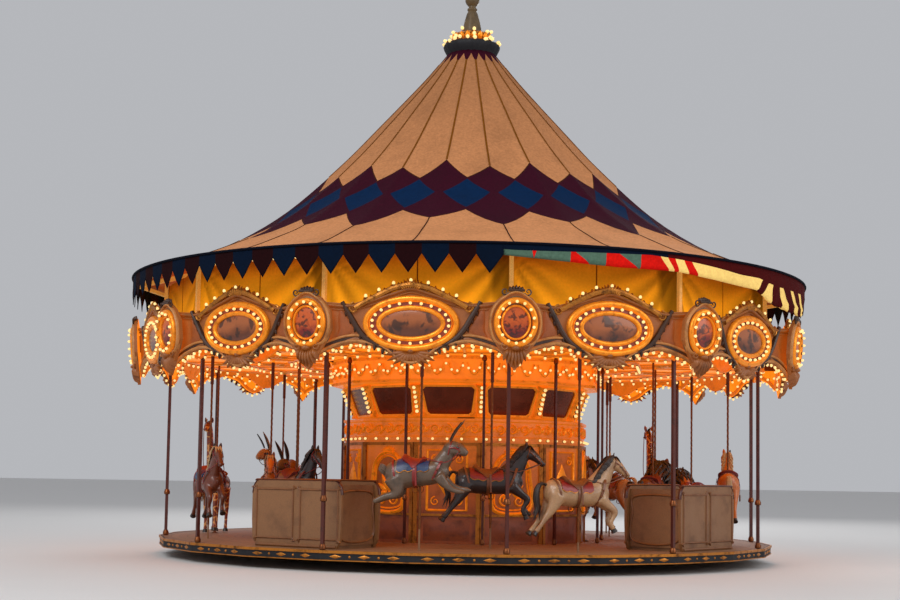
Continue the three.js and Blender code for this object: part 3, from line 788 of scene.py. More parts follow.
def build_finishes():
    cloth = bpy.context.scene.carousel_cloth
    carving = bpy.context.scene.carousel_carving
    lamp = bpy.context.scene.carousel_lamps
    for name, base, grime, more in (
        ("cream_canvas", cloth.cream, (0.25, 0.16, 0.10), dict(lamplit_low=True)),
        ("plum_canvas", cloth.plum, (0.10, 0.03, 0.06), {}),
        ("navy_canvas", cloth.navy, (0.02, 0.05, 0.10), {}),
        ("night_canvas", (0.01, 0.07, 0.15), (0.02, 0.03, 0.06), {}),
        ("wine_canvas", cloth.wine, (0.06, 0.02, 0.03), {}),
        ("maroon_canvas", (0.29, 0.03, 0.03), (0.10, 0.02, 0.02), {}),
        ("red_canvas", (0.90, 0.085, 0.045), (0.4, 0.03, 0.03), {}),
        ("teal_canvas", (0.34, 0.45, 0.38), (0.12, 0.3, 0.25), {}),
        # butter_canvas: painted lamplight glowing on the turned-up lining
        (
            "butter_canvas", (0.90, 0.76, 0.44), (0.25, 0.16, 0.10),
            dict(glow=0.35, glow_colour=(1.0, 0.83, 0.45))
        ),
        # lit_canvas: painted lamplight through the cloth, darker at its top, with painted shadows and
        # highlights on its pleats
        (
            "lit_canvas", cloth.curtain, (0.55, 0.28, 0.04),
            dict(
                glow=0.87, glow_colour=(0.98, 0.68, 0.10), glow_top=(0.42, 0.17, 0.0),
                paint_fold_light=True
            )
        ),
        ("seam_tape", (0.47, 0.27, 0.05), (0.2, 0.1, 0.05), {}),
        ("lower_seam", (0.24, 0.11, 0.05), (0.12, 0.06, 0.04), {}),
        ("edge_tape", (0.04, 0.05, 0.10), (0.03, 0.02, 0.04), {})
    ):
        FINISHES[name] = canvas(name, base, grime, **more)
    # Each glow below is painted lamplight on a surface that is no lamp; amber_paint and deep_amber also
    # have a painted shade, darker towards the floor.
    carved = dict(amount=0.8, scale=5)
    animal = dict(amount=0.6, scale=5, coat=0.5)
    hair = dict(scale=20, speckle=160, bump=0.5)
    for name, base, grime, more in (
        (
            "taupe_carving", carving.taupe, (0.22, 0.13, 0.06),
            carved | dict(speckle=90, glow=0.07, glow_colour=(1.0, 0.50, 0.10))
        ),
        (
            "pale_gold", (0.84, 0.66, 0.38), (0.45, 0.30, 0.14),
            dict(metal=0.2, glow=0.25, glow_colour=(1.0, 0.74, 0.32))
        ),
        (
            "olive_shell", (0.43, 0.33, 0.17), (0.18, 0.12, 0.06),
            carved | dict(glow=0.03, glow_colour=(1.0, 0.50, 0.10))
        ),
        ("spire_paint", (0.38, 0.30, 0.18), (0.15, 0.11, 0.06), carved),
        (
            "pale_moulding", (0.70, 0.49, 0.28), (0.32, 0.17, 0.07),
            dict(amount=0.8, scale=6, glow=0.10, glow_colour=(1.0, 0.55, 0.14))
        ),
        ("umber_carving", carving.umber, (0.05, 0.035, 0.03), dict(amount=0.7, scale=6)),
        (
            "brown_panel", (0.50, 0.26, 0.11), (0.28, 0.13, 0.05),
            dict(amount=0.8, scale=2.5, glow=0.12, glow_colour=(1.0, 0.48, 0.06))
        ),
        (
            "gilding", carving.gold, (0.36, 0.14, 0.03),
            dict(
                rough=(0.25, 0.5), metal=0.65, scale=9, amount=0.8, speckle=110,
                bump=0.35, glow=0.22, glow_colour=(1.0, 0.58, 0.10)
            )
        ),
        (
            "old_gilding", (0.74, 0.47, 0.17), (0.20, 0.11, 0.05),
            dict(rough=(0.3, 0.6), metal=0.7, scale=8, amount=0.9)
        ),
        (
            "wine_band", carving.wine, (0.17, 0.04, 0.02),
            dict(scale=7, amount=0.7, coat=0.3, glow=0.12, glow_colour=(1.0, 0.36, 0.06))
        ),
        (
            "amber_paint", (0.86, 0.42, 0.08), (0.42, 0.13, 0.035),
            dict(
                amount=0.9, coat=0.3, glow=lamp.wash * 1.1, glow_colour=(1.0, 0.53, 0.09),
                painted_shade_heights=(0.8, 3.4)
            )
        ),
        (
            "ceiling_paint", carving.amber, (0.78, 0.34, 0.05),
            dict(
                amount=0.7, glow=lamp.wash * 1.15, glow_colour=(1.0, 0.57, 0.09),
                sleeves=(0.33, 0.13, 0.07)
            )
        ),
        (
            "deep_amber", (0.74, 0.35, 0.05), (0.40, 0.14, 0.03),
            dict(
                scale=5, amount=0.8, coat=0.25, glow=lamp.wash * 0.7,
                glow_colour=(1.0, 0.52, 0.08), painted_shade_heights=(0.6, 3.3)
            )
        ),
        (
            "mirror", (0.46, 0.22, 0.12), (0.14, 0.06, 0.04),
            dict(rough=(0.12, 0.35), metal=0.6, bump=0.05)
        ),
        ("dark_steel", (0.25, 0.22, 0.20), (0.10, 0.06, 0.04), dict(metal=0.5, scale=6)),
        ("mast_steel", (0.36, 0.33, 0.30), (0.14, 0.08, 0.05), dict(metal=0.55)),
        ("wine_steel", (0.33, 0.12, 0.07), (0.08, 0.04, 0.03), dict(metal=0.35, scale=7, coat=0.3)),
        (
            "brass", (0.50, 0.28, 0.13), (0.20, 0.10, 0.05),
            dict(rough=(0.25, 0.45), metal=0.7, scale=12, amount=0.6)
        ),
        (
            "navy_paint", (0.015, 0.02, 0.06), (0.02, 0.012, 0.02),
            dict(rough=(0.6, 0.8), scale=4, amount=0.7)
        ),
        ("chariot_paint", (0.53, 0.36, 0.21), (0.32, 0.18, 0.09), dict(amount=0.6, coat=0.2)),
        (
            "chariot_trim", (0.50, 0.31, 0.16), (0.28, 0.15, 0.07),
            dict(scale=5, amount=0.6, coat=0.2)
        ),
        ("chariot_rail", (0.30, 0.11, 0.05), (0.16, 0.07, 0.03), dict(scale=5, coat=0.4)),
        (
            "seat_leather", (0.42, 0.08, 0.06), (0.18, 0.04, 0.03),
            dict(scale=6, speckle=220, bump=0.3)
        ),
        ("ivory_coat", (0.68, 0.52, 0.36), (0.42, 0.25, 0.14), animal | dict(scale=4)),
        ("slate_coat", (0.38, 0.30, 0.23), (0.18, 0.14, 0.11), dict(scale=5, coat=0.4, amount=0.7)),
        ("bay_coat", (0.40, 0.17, 0.07), (0.16, 0.06, 0.03), animal),
        ("black_coat", (0.14, 0.10, 0.10), (0.05, 0.03, 0.03), animal),
        ("tawny_coat", (0.78, 0.42, 0.13), (0.42, 0.17, 0.05), animal),
        ("dark_hair", (0.16, 0.10, 0.07), (0.06, 0.04, 0.03), hair),
        ("pale_hair", (0.72, 0.58, 0.40), (0.40, 0.26, 0.15), hair),
        (
            "red_leather", (0.52, 0.08, 0.05), (0.22, 0.04, 0.03),
            dict(scale=9, coat=0.3, speckle=200)
        ),
        ("blue_cloth", (0.08, 0.20, 0.36), (0.04, 0.08, 0.14), dict(scale=9, coat=0.2, speckle=200)),
        (
            "tan_leather", (0.45, 0.24, 0.10), (0.18, 0.09, 0.04),
            dict(scale=8, coat=0.3, speckle=220)
        ),
        ("hoof", (0.12, 0.09, 0.08), (0.05, 0.04, 0.03), dict(scale=14, coat=0.4)),
        (
            "eye_glass", (0.05, 0.03, 0.02), (0.10, 0.07, 0.05),
            dict(rough=(0.05, 0.1), coat=1.0, bump=0.02)
        )
    ):
        FINISHES[name] = aged(name, base, grime, **more)
    FINISHES["carved_wood"] = two_faced_board(
        "carved_wood", carving.taupe, carving.amber, (0.20, 0.12, 0.05), lamp.wash
    )
    FINISHES["deck_boards"] = planked_deck("deck_boards")
    FINISHES["giraffe_coat"] = spotted("giraffe_coat", (0.85, 0.62, 0.34), (0.55, 0.22, 0.07), 7.0)
    FINISHES["big_picture"] = painted_scene(
        "big_picture", (0.58, 0.31, 0.14), (0.34, 0.16, 0.07), (0.14, 0.07, 0.04), 2.2
    )
    FINISHES["small_picture"] = painted_scene(
        "small_picture", (0.70, 0.30, 0.08), (0.42, 0.07, 0.03), (0.14, 0.05, 0.03), 5.0
    )
    FINISHES["bulb_glass"], tree, shader = new_material("bulb_glass")
    links = [
        ("Colour", (1.0, 0.80, 0.34, 1)), ("Grime", (1.0, 0.50, 0.12, 1)), ("Scale", 14.0),
        ("Amount", 1.0)
    ]
    feed(tree, shader, [
        ("Base Color", (0.5, 0.3, 0.1, 1)), ("Roughness", 0.2), ("Emission Strength", lamp.glow),
        ("Emission Color", group(tree, "aged", links).outputs["Colour"]),
    ])
    FINISHES["pale_floor"], tree, shader = new_material("pale_floor")
    links = [("Colour", (0.66, 0.65, 0.64, 1)), ("Grime", (0.62, 0.61, 0.60, 1)), ("Scale", 0.4)]
    feed(tree, shader, [("Base Color", group(tree, "aged", links).outputs["Colour"]), ("Roughness", 0.8)])


def repaint(finish, *nodes):
    """Gives CAD nodes that stay in view their finish."""
    for name in nodes:
        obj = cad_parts[name]
        obj.data.materials.clear()
        obj.data.materials.append(FINISHES[finish])


# Roof, valance and curtain
ROOF_LINE = [
    (0.445, 9.35), (0.925, 8.75), (1.76, 7.82), (2.50, 7.02), (3.46, 6.12), (4.31, 5.54), (4.95, 5.24),
    (5.6, 4.98), (6.1, 4.86)
]
ROOF_CURVE = smooth_line(ROOF_LINE, 160)
RIM = 6.09
ROPE_HEIGHT = 4.866
SEAM_LIFT = 0.005
VALANCE_TOP = 4.848
NOTCH = 4.70
TIP = 4.42
PENNANT = 360 / 96
TURNED_UP = (-1.875, 73.125)
VALANCE_SPLIT = 215.625
LIT_NOTCHES = (286.875, 330)
POST_RADIUS = 5.4895


def on_rim(angle, z, inward):
    a = math.radians(angle)
    return ((RIM - inward) * math.sin(a), (inward - RIM) * math.cos(a), z)


def on_roof(gore, u, r, lift=0.0):
    """A point of the roof: u runs from -1 to 1 across a gore, r is the radius at its seams."""
    sag = bpy.context.scene.carousel_cloth.sag
    z = np.interp(r, ROOF_CURVE[:, 0], ROOF_CURVE[:, 1])
    hang = sag * (1 - u * u) * math.sin(math.pi * min(max((r - 0.5) / 5.6, 0), 1) ** 0.8)
    ends = []
    for side in (0, 1):
        a = math.radians((gore + side) * 360 / GORES)
        ends.append(np.array([r * math.sin(a), -r * math.cos(a), z]))
    point = ends[0] + (ends[1] - ends[0]) * (u + 1) / 2
    rounding = r / math.hypot(point[0], point[1]) - 1
    point[:2] *= 1 + rounding * min(max((r - 5.0) / (RIM - 5.0), 0), 1)
    return point + (0, 0, lift - hang)


def gore_edges(gore, u):
    """Radii of the colour edges at a place across a gore, by whether the near seam is over a post."""
    over_post = (gore % 2 == 0) == (u < 0)
    upper, lower = (2.86, 4.62) if over_post else (2.73, 4.34)
    across = abs(u)
    side = min(across / 0.84, 1)
    top = 3.075 + (upper - 3.075) * across
    foot = 3.965 + (lower - 3.965) * across
    return [
        0.44, 0.52 + 0.16 * across, top, top + 0.022, 3.11 + 0.355 * side, 3.88 - 0.40 * side,
        foot - 0.022, foot, RIM - bpy.context.scene.carousel_cloth.hem, RIM
    ]


def cloth_sheet(name, points, faces, which, finishes, uv, thickness, weld=0.0, fold_light_values=None):
    """An open sheet with its own UV map, given its thickness inwards."""
    mesh = bpy.data.meshes.new(name)
    mesh.from_pydata([tuple(p) for p in points], [], faces)
    for finish in finishes:
        mesh.materials.append(FINISHES[finish])
    mesh.polygons.foreach_set("material_index", which)
    mesh.polygons.foreach_set("use_smooth", [True] * len(faces))
    layer = mesh.uv_layers.new(name="cut")
    corners = np.zeros(len(mesh.loops), int)
    mesh.loops.foreach_get("vertex_index", corners)
    layer.data.foreach_set("uv", np.asarray(uv, float)[corners].ravel())
    # painted shadows and highlights of the pleats, kept as a point attribute that the material reads
    if fold_light_values is not None:
        mesh.attributes.new("painted_fold_light", "FLOAT", "POINT").data.foreach_set("value", np.asarray(fold_light_values, float))
    if weld:
        bm = bmesh.new()
        bm.from_mesh(mesh)
        bmesh.ops.remove_doubles(bm, verts=bm.verts, dist=weld)
        bm.to_mesh(mesh)
        bm.free()
    mesh.update()
    obj = linked(name, mesh)
    solid = obj.modifiers.new("thickness", "SOLIDIFY")
    solid.thickness = thickness
    solid.offset = -1
    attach(obj, "turntable")
    return obj


def build_roof():
    columns = np.array([-1, -0.84, -0.56, -0.28, 0, 0.28, 0.56, 0.84, 1])
    counts = [2, 13, 1, 4, 6, 4, 1, 8, 1]
    colours = [1, 0, 4, 1, 2, 1, 4, 0, 3]
    points, faces, which, uv, at = [], [], [], [], 0
    for gore in range(GORES):
        rows = []
        for u in columns:
            edges = gore_edges(gore, u)
            radii = [edges[0]]
            for k, count in enumerate(counts):
                radii += list(np.linspace(edges[k], edges[k + 1], count + 1)[1:])
            rows.append(radii)
        rows = np.array(rows).T
        bands = np.repeat(colours, counts)
        for i, radii in enumerate(rows):
            for u, r in zip(columns, radii):
                points.append(on_roof(gore, u, r))
                uv.append((gore * 2.0 + u * r * 0.13, r * 1.3))
        m = len(columns)
        for i in range(len(rows) - 1):
            for j in range(m - 1):
                a, b = at + i * m + j, at + (i + 1) * m + j
                faces.append([a, b, b + 1, a + 1])
                outer = bands[i] == 2 and j in (0, m - 2)
                which.append(1 if outer else int(bands[i]))
        at += len(rows) * m
    finishes = ("cream_canvas", "plum_canvas", "navy_canvas", "edge_tape", "lower_seam")
    roof = cloth_sheet(
        "roof_cloth", points, faces, which, finishes, uv, 0.005, weld=1e-4
    )
    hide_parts("canopy")
    upper, lower = [], []
    for gore in range(GORES):
        a = math.radians(gore * 360 / GORES)
        edges = gore_edges(gore, -1)
        for seams, first, last, width in ((upper, 0.65, edges[2], 0.016), (lower, edges[7], 6.07, 0.01)):
            line = [on_roof(gore, -1, r, SEAM_LIFT) for r in np.linspace(first, last, 26)]
            seams.append(bar(line, width, 0.005, sides=6, across=(math.cos(a), math.sin(a), 0)))
    tape = piece("roof_seam_tapes", gather(upper), "seam_tape")
    stitching = piece("roof_lower_seams", gather(lower), "lower_seam")
    rope = [on_rim(a, ROPE_HEIGHT, -0.008) for a in np.arange(0, 360, 3.0)]
    hem = piece("roof_hem_rope", bar(rope, 0.02, 0.02, sides=8, across=(0, 0, 1), ring=True), "edge_tape")


def pennant_edge(first, column):
    """Angle and lowest height of the valance at one of its columns, six to a pennant."""
    share = 1 - abs((column % 6) - 3) / 3
    return first + column * PENNANT / 6, NOTCH + (TIP - NOTCH) * share


def flutter(angle, down):
    return 0.008 * down * (1 + math.sin(angle * 1.7)) + 0.004 * down * math.sin(angle * 5.3)


def build_valance():
    notches, levels = [], 8
    for name, first, last in (
        ("valance_right", TURNED_UP[1], VALANCE_SPLIT),
        ("valance_left", VALANCE_SPLIT, 360 + TURNED_UP[0])
    ):
        columns = int(round((last - first) / PENNANT)) * 6
        points, faces, which, uv, binding_line = [], [], [], [], []
        for c in range(columns + 1):
            angle, bottom = pennant_edge(first, c)
            for k in range(levels + 1):
                down = k / levels
                z = VALANCE_TOP + (bottom - VALANCE_TOP) * down
                points.append(on_rim(angle, z, inward=flutter(angle, down)))
                uv.append((math.radians(angle) * RIM, z))
            binding_line.append(on_rim(angle, bottom, inward=flutter(angle, 1) + 0.003))
        for c in range(columns):
            for k in range(levels):
                a, b = c * (levels + 1) + k, (c + 1) * (levels + 1) + k
                faces.append([a, a + 1, b + 1, b])
                which.append((c // 6 + 1) % 2)
        sheet = cloth_sheet(
            name, points, faces, which, ("night_canvas", "wine_canvas"), uv, 0.006
        )
        binding = piece(
            f"{name}_binding", bar(binding_line, 0.007, 0.007, sides=5, across=(0, 0, 1)), "edge_tape",
        )
        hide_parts("valance")
        for angle in np.arange(max(first, LIT_NOTCHES[0]), min(last, LIT_NOTCHES[1]), PENNANT):
            a = math.radians(angle)
            spot = on_rim(angle, NOTCH + 0.012, inward=0.035)
            notches.append((spot, (math.sin(a) * 0.3, -math.cos(a) * 0.3, -1)))
    lamps("valance_lamps", notches, 0.02)


LINING = [
    (-1.875, -1.875, 0), (2.1, 2.35, 1), (2.7, 2.4, 0), (7.6, 7.6, 1), (8.3, 10.5, 0), (12.9, 12.9, 1),
    (14.9, 18.1, 0), (18.4, 18.4, 1), (21.6, 23.4, 2), (22.9, 24.4, 1), (24.2, 25.2, 2), (25.8, 27.1, 1),
    (27.3, 28.9, 2), (44, 43, 3), (46, 44.5, 2), (47.5, 48, 3), (50, 52, 2), (51.5, 56, 3), (55, 60, 2),
    (56.5, 63, 3), (60, 66.5, 2), (62, 69, 3), (73.125, 73.125, 3)
]
LOWER_EDGE = [
    (-1.875, 4.69), (5, 4.64), (10, 4.61), (15, 4.59), (25, 4.60), (30, 4.56), (37, 4.51), (43, 4.49),
    (46, 4.38), (49, 4.31), (57, 4.27), (66, 4.29), (73.125, 4.40)
]
DARK_SHARE = ((0, 10, 20, 27, 38, 73), (0.5, 0.3, 0.16, 0.3, 0.5, 0.3))


def build_turned_up_valance():
    """The stretch of valance that is turned up under the roof's edge, showing its lining's colours."""
    tucks = [
        (0.0, 0.0), (0.0, 0.002), (0.0, 0.004), (0.22, 0.014), (0.45, 0.016), (0.68, 0.02), (0.88, 0.03),
        (1.0, 0.055), (0.9, 0.085), (0.6, 0.09)
    ]
    points, faces, which, uv = [], [], [], []
    m, at = len(tucks), 0
    for (top, foot, colour_index), (top_end, foot_end, _) in zip(LINING[:-1], LINING[1:]):
        columns = max(1, int(math.ceil(max(top_end - top, foot_end - foot) / 0.7)))
        for c in range(columns + 1):
            t = c / columns
            for k, (share, inward) in enumerate(tucks):
                angle = (top + (top_end - top) * t) * (1 - share) + (foot + (foot_end - foot) * t) * share
                edge = np.interp(angle, *zip(*LOWER_EDGE))
                band = np.interp(angle, *DARK_SHARE) * (VALANCE_TOP - edge)
                drop = (0, band / 2, band)[k] if k < 3 else band + (VALANCE_TOP - edge - band) * share
                bundle = min(max((angle - 43) / 5, 0), 1)
                ripple = 0.006 * math.sin(angle * 1.3 + k)
                ripple += 0.03 * bundle * (1 + math.sin(angle * 2.1 + k * 0.5))
                inset = inward + ripple * max(0, k - 2) / 7
                points.append(on_rim(angle, VALANCE_TOP - drop, inset))
                uv.append((math.radians(angle) * RIM, k * 0.05))
        for c in range(columns):
            for k in range(m - 1):
                a, b = at + c * m + k, at + (c + 1) * m + k
                faces.append([a, a + 1, b + 1, b])
                dark = 4 if top < 22 else 3
                which.append(dark if k < 2 else colour_index)
        at += (columns + 1) * m
    finishes = ("teal_canvas", "red_canvas", "butter_canvas", "maroon_canvas", "night_canvas")
    rolled = cloth_sheet(
        "valance_turned_up", points, faces, which, finishes, uv, 0.005, weld=1e-4
    )
    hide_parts("valance_rolled")


def build_curtain():
    """Cloth between the posts, with pleats that spread downwards from the tops of the posts, and painted
    light on them: a painted shadow beside each post and painted highlights and shade along the pleats near
    the posts.
    """
    across, up = 56, 12
    plane, half = POST_RADIUS * math.cos(HALF_BAY), POST_RADIUS * math.sin(HALF_BAY)
    for name, bays in (("curtain_right", range(0, 6)), ("curtain_left", range(6, 12))):
        points, faces, fold_light_values, uv = [], [], [], []
        for n, bay in enumerate(bays):
            shape = []
            for i in range(across + 1):
                t = i / across
                for j in range(up + 1):
                    h = j / up
                    depth = 0.03 * (0.5 + 0.5 * math.sin(t * 23 + bay)) * h
                    # light paints highlights and shade along the pleats near the posts into the cloth's
                    # colour
                    light = 0.0
                    for side, reach in ((t, 0.26), (1 - t, 0.38)):
                        fan = math.atan2((1 - h) * 0.87 + 0.05, side * 2.84 + 0.05)
                        near = math.exp(-side / reach) * min(1, side * 20)
                        crest = 0.5 + 0.5 * math.sin(fan * 17 + bay * 1.7)
                        depth += 0.08 * near * crest
                        light += near * (crest - 0.5) * (1.15 - 0.5 * h)
                    # a painted shadow on the cloth beside each post, stored with the painted highlights
                    # for the material
                    post_shadow = min(max((0.105 + 0.03 * h - (1 - t)) / 0.03, 0), 1)
                    fold_light_values.append(max(0.3, (0.92 + 0.9 * light) * (1 - 0.62 * post_shadow)))
                    z = 3.95 + 0.87 * h - 0.02 * (1 - h) * math.sin(math.pi * t)
                    shape.append((-half + 2 * half * t, depth, z))
                    uv.append((bay * 3 + t * 2.84, h * 0.85))
            points.append(turn(np.array(shape) + (0, -plane, 0), MIDDLES[bay]))
            for i in range(across):
                for j in range(up):
                    a = n * (across + 1) * (up + 1) + i * (up + 1) + j
                    b = a + up + 1
                    faces.append([a, b, b + 1, a + 1])
        sheet = cloth_sheet(
            name, np.concatenate(points), faces, [0] * len(faces), ["lit_canvas"], uv, 0.004,
            fold_light_values=fold_light_values
        )
        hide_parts("curtain_wall")
    line = [(0, -plane - 0.006, z) for z in np.linspace(3.97, 4.8, 5)]
    seam = bar(line, 0.01, 0.004, sides=4, across=(1, 0, 0))
    around("curtain_seams", seam, "seam_tape", first=BAY / 2, slot="cream_cloth")


# Rounding boards: mouldings, ribs, medallions, crests and pendants on the flat CAD boards
ARCH_EDGE = [(0.0, 3.09), (0.2, 3.16), (0.44, 3.33), (0.86, 3.41), (1.25, 3.31), (1.514, 3.15)]
TOP_EDGE = [(0.0, 4.24), (0.33, 4.15), (0.9, 3.99), (1.514, 4.04)]
RIB_LINE = [
    (1.04, 4.02), (0.97, 3.90), (0.885, 3.76), (0.80, 3.62), (0.66, 3.47), (0.45, 3.36), (0.25, 3.27)
]
OVAL_PROUD = 0.036
SHIELD_PROUD = 0.056


def both_ways(half):
    return [(-x, z) for x, z in half[::-1] if x > 0] + list(half)


def mirror(shape):
    """A shape and its mirror image, left and right."""
    flipped = np.array(shape[0], float) * (-1, 1, 1)
    return [shape, (flipped, [f[::-1] for f in shape[1]])]


def offset_line(path, distance):
    p = np.asarray(path, float)
    t = directions(p)
    return p + np.stack([-t[:, 1], t[:, 0]], 1) * distance


def spots_on(bays, distance, places, facing, lean=True):
    """World places and facings of lamps given as (x, z, proud) on each bay."""
    local = (np.array([(x, -proud, z) for x, z, proud in places], float), [])
    aim = (np.array([facing], float), [])
    out = []
    for angle in bays:
        points = placed(leaned(local) if lean else local, distance, angle)[0]
        direction = turn(aim[0], angle)[0]
        out += [(p, direction) for p in points]
    return out


def petal(base, tip, width, proud, back, count=10):
    """A carved leaf from its base to its tip."""
    base, tip = np.asarray(base, float), np.asarray(tip, float)
    along = tip - base
    side = np.array([-along[1], along[0]]) / max(np.linalg.norm(along), 1e-9)
    outline = []
    for k in [*range(count), *range(2 - count, 0)]:
        t = abs(k) / (count - 1)
        hand = 1 if k >= 0 else -1
        outline.append(base + along * t + hand * side * width * math.sin(math.pi * t**0.8) * 0.5)
    return dished(outline, base + along * 0.45, proud, back, rings=3)


def scroll(centre, start_radius, turns, width, proud, back, hand, begin=90.0):
    """A spiral volute, thinning towards its eye."""
    path, sizes = [], []
    steps = int(18 * turns)
    for k in range(steps + 1):
        t = k / steps
        a = math.radians(begin) + hand * t * turns * 2 * math.pi
        r = start_radius * (1 - t) ** 0.8 + 0.008
        out = -back - proud * 0.5 * (1 + t * 0.5)
        path.append((centre[0] + r * math.cos(a), out, centre[1] + r * math.sin(a)))
        sizes.append(width * (1 - 0.55 * t))
    return bar(path, sizes, [s * 0.9 for s in sizes], sides=6)


def build_board_paint():
    repaint("carved_wood", *[f"rounding_board_{k:02d}" for k in range(1, BAYS + 1)])


def leaned_at(shapes, distance):
    """Shapes drawn on the board's face, leaned and moved out to the front bay, ready to be repeated."""
    return placed(leaned(gather(shapes)), distance, 0)


def on_boards(name, shapes, finish, slot="carved_board"):
    around(name, leaned_at(shapes, BOARD_APOTHEM), finish, first=BAY / 2, slot=slot)


def on_shields(name, shapes, finish, slot="carved_board"):
    around(name, leaned_at(shapes, SHIELD_DISTANCE), finish, slot=slot)


def board_lamps(name, places, facing, radius=0.025):
    lamps(name, spots_on(MIDDLES, BOARD_APOTHEM, places, facing), radius)


def oval(half_width, half_height, middle, profile, count):
    """A moulding round an upright oval."""
    return moulding(ellipse(half_width, half_height, count, (0, middle)), profile, ring=True)


def build_arches():
    width = bpy.context.scene.carousel_carving.moulding
    edge = smooth_line(both_ways(ARCH_EDGE), 44)
    lower = moulding(offset_line(edge, 0.03), round_profile(width, 0.05))
    upper = moulding(offset_line(edge, 0.115), round_profile(width * 0.8, 0.038))
    on_boards("arch_mouldings", [lower, upper], "pale_moulding")
    groove = moulding(
        offset_line(edge, 0.073), [(-0.022, -0.01), (-0.022, 0.012), (0.022, 0.012), (0.022, -0.01)]
    )
    on_boards("arch_grooves", [groove], "umber_carving")
    top = smooth_line(both_ways(TOP_EDGE), 40)
    rail = moulding(offset_line(top, -0.03), round_profile(0.055, 0.055))
    shade = moulding(offset_line(top, -0.085), round_profile(0.03, 0.03))
    on_boards("board_top_rails", [rail, shade], "taupe_carving")


def build_ribs():
    rib_path = smooth_line(RIB_LINE, 26)
    thin = np.array([0.5 + 0.5 * math.sin(math.pi * min(1, 0.15 + t)) for t in np.linspace(0, 1, 26)])
    rib = bar([(x, -0.02, z) for x, z in rib_path], 0.05 * thin, 0.045 * thin, sides=8)
    leaves = [
        petal(rib_path[k], rib_path[k] + np.array([0.02, -0.11]), 0.06, 0.045, 0.0)
        for k in range(3, 24, 3)
    ]
    on_boards("board_ribs", mirror(gather([rib, *leaves])), "umber_carving")
    panel = [
        (1.075, 3.96), (1.10, 3.80), (1.10, 3.58), (1.17, 3.43), (1.0, 3.50), (0.88, 3.57), (0.84, 3.60),
        (0.93, 3.74), (1.01, 3.86)
    ]
    spandrel = [
        (0.62, 3.40), (0.80, 3.50), (1.0, 3.45), (1.12, 3.385), (0.95, 3.43), (0.78, 3.44), (0.68, 3.41)
    ]
    for name, outline, count, middle, proud, finish in (
        ("board_panels", panel, 30, (1.01, 3.68), 0.02, "brown_panel"),
        ("board_spandrels", spandrel, 24, (0.9, 3.46), 0.022, "taupe_carving"),
    ):
        shape = dished(smooth_line(outline, count, ring=True), middle, proud, 0.004)
        on_boards(name, mirror(shape), finish)


def build_large_medallions():
    base, middle = OVAL_PROUD, BOARD_CENTRE
    on_boards("large_medallion_frames", [
        oval(0.678, 0.368, middle, round_profile(0.09, base + 0.05, base), 56),
        oval(0.62, 0.325, middle, round_profile(0.022, base + 0.03, base), 56),
        oval(0.485, 0.232, middle, round_profile(0.075, base + 0.045, base), 56),
    ], "gilding")
    hollow = [
        (-0.06, base - 0.01), (-0.055, base + 0.014), (0, base + 0.006), (0.055, base + 0.014),
        (0.06, base - 0.01)
    ]
    on_boards("large_medallion_bands", [oval(0.578, 0.298, middle, hollow, 56)], "wine_band")
    picture = dished(ellipse(0.462, 0.212, 48, (0, middle)), (0, middle), base + 0.02, base, rings=5)
    on_boards("large_pictures", [picture], "big_picture", slot=None)
    lit = [(0.578 * math.sin(a), middle + 0.298 * math.cos(a), base + 0.012) for a in around_circle(22)]
    board_lamps("large_medallion", lit, (0, -1, 0))


def build_crests():
    """Carved arch and shell over each large medallion, with its row of lamps."""
    line = smooth_line(
        both_ways([(0.0, 4.27), (0.26, 4.22), (0.48, 4.12), (0.68, 4.02), (0.84, 3.93)]), 34
    )
    shapes = [bar([(x, -0.02, z) for x, z in line], 0.05, 0.045, sides=8)]
    for k in range(-4, 5):
        a = math.radians(k * 18)
        tip = (0.20 * math.sin(a), 4.25 + 0.13 * math.cos(a))
        shapes.append(petal((0.02 * k, 4.17), tip, 0.055, 0.07, 0.0, count=8))
    for x, z in line[3:31:2]:
        shapes.append(petal((x, z - 0.02), (x * 1.04, z + 0.075), 0.055, 0.045, -0.02, count=7))
    for hand in (1, -1):
        shapes.append(scroll((-0.86 * hand, 3.93), 0.07, 1.4, 0.022, 0.05, 0.0, hand))
    on_boards("medallion_crests", shapes, "old_gilding")
    places = (
        (0, 0.61), (0.26, 0.57), (-0.26, 0.57), (0.48, 0.47), (-0.48, 0.47), (0.68, 0.38), (-0.68, 0.38)
    )
    board_lamps("crest", [(x, BOARD_CENTRE + z, 0.03) for x, z in places], (0, -0.25, 1))


def build_pendants():
    """Carved shell below each large medallion, between the arches."""
    fan = []
    for k in range(-5, 6):
        a = math.radians(k * 16.5)
        reach = 0.17 + 0.20 * abs(math.sin(a)) ** 1.5
        tip = (math.sin(a) * (reach + 0.06), 3.285 - math.cos(a) * reach)
        fan.append(petal((math.sin(a) * 0.03, 3.285), tip, 0.085, 0.06, 0.0, count=9))
    boss = dished(ellipse(0.06, 0.045, 16, (0, 3.30)), (0, 3.30), 0.085, 0.0, rings=4)
    wings = mirror(scroll((0.30, 3.31), 0.055, 1.3, 0.02, 0.045, 0.0, -1, begin=-60))
    on_boards("board_pendants", [*fan, boss, *wings], "taupe_carving")


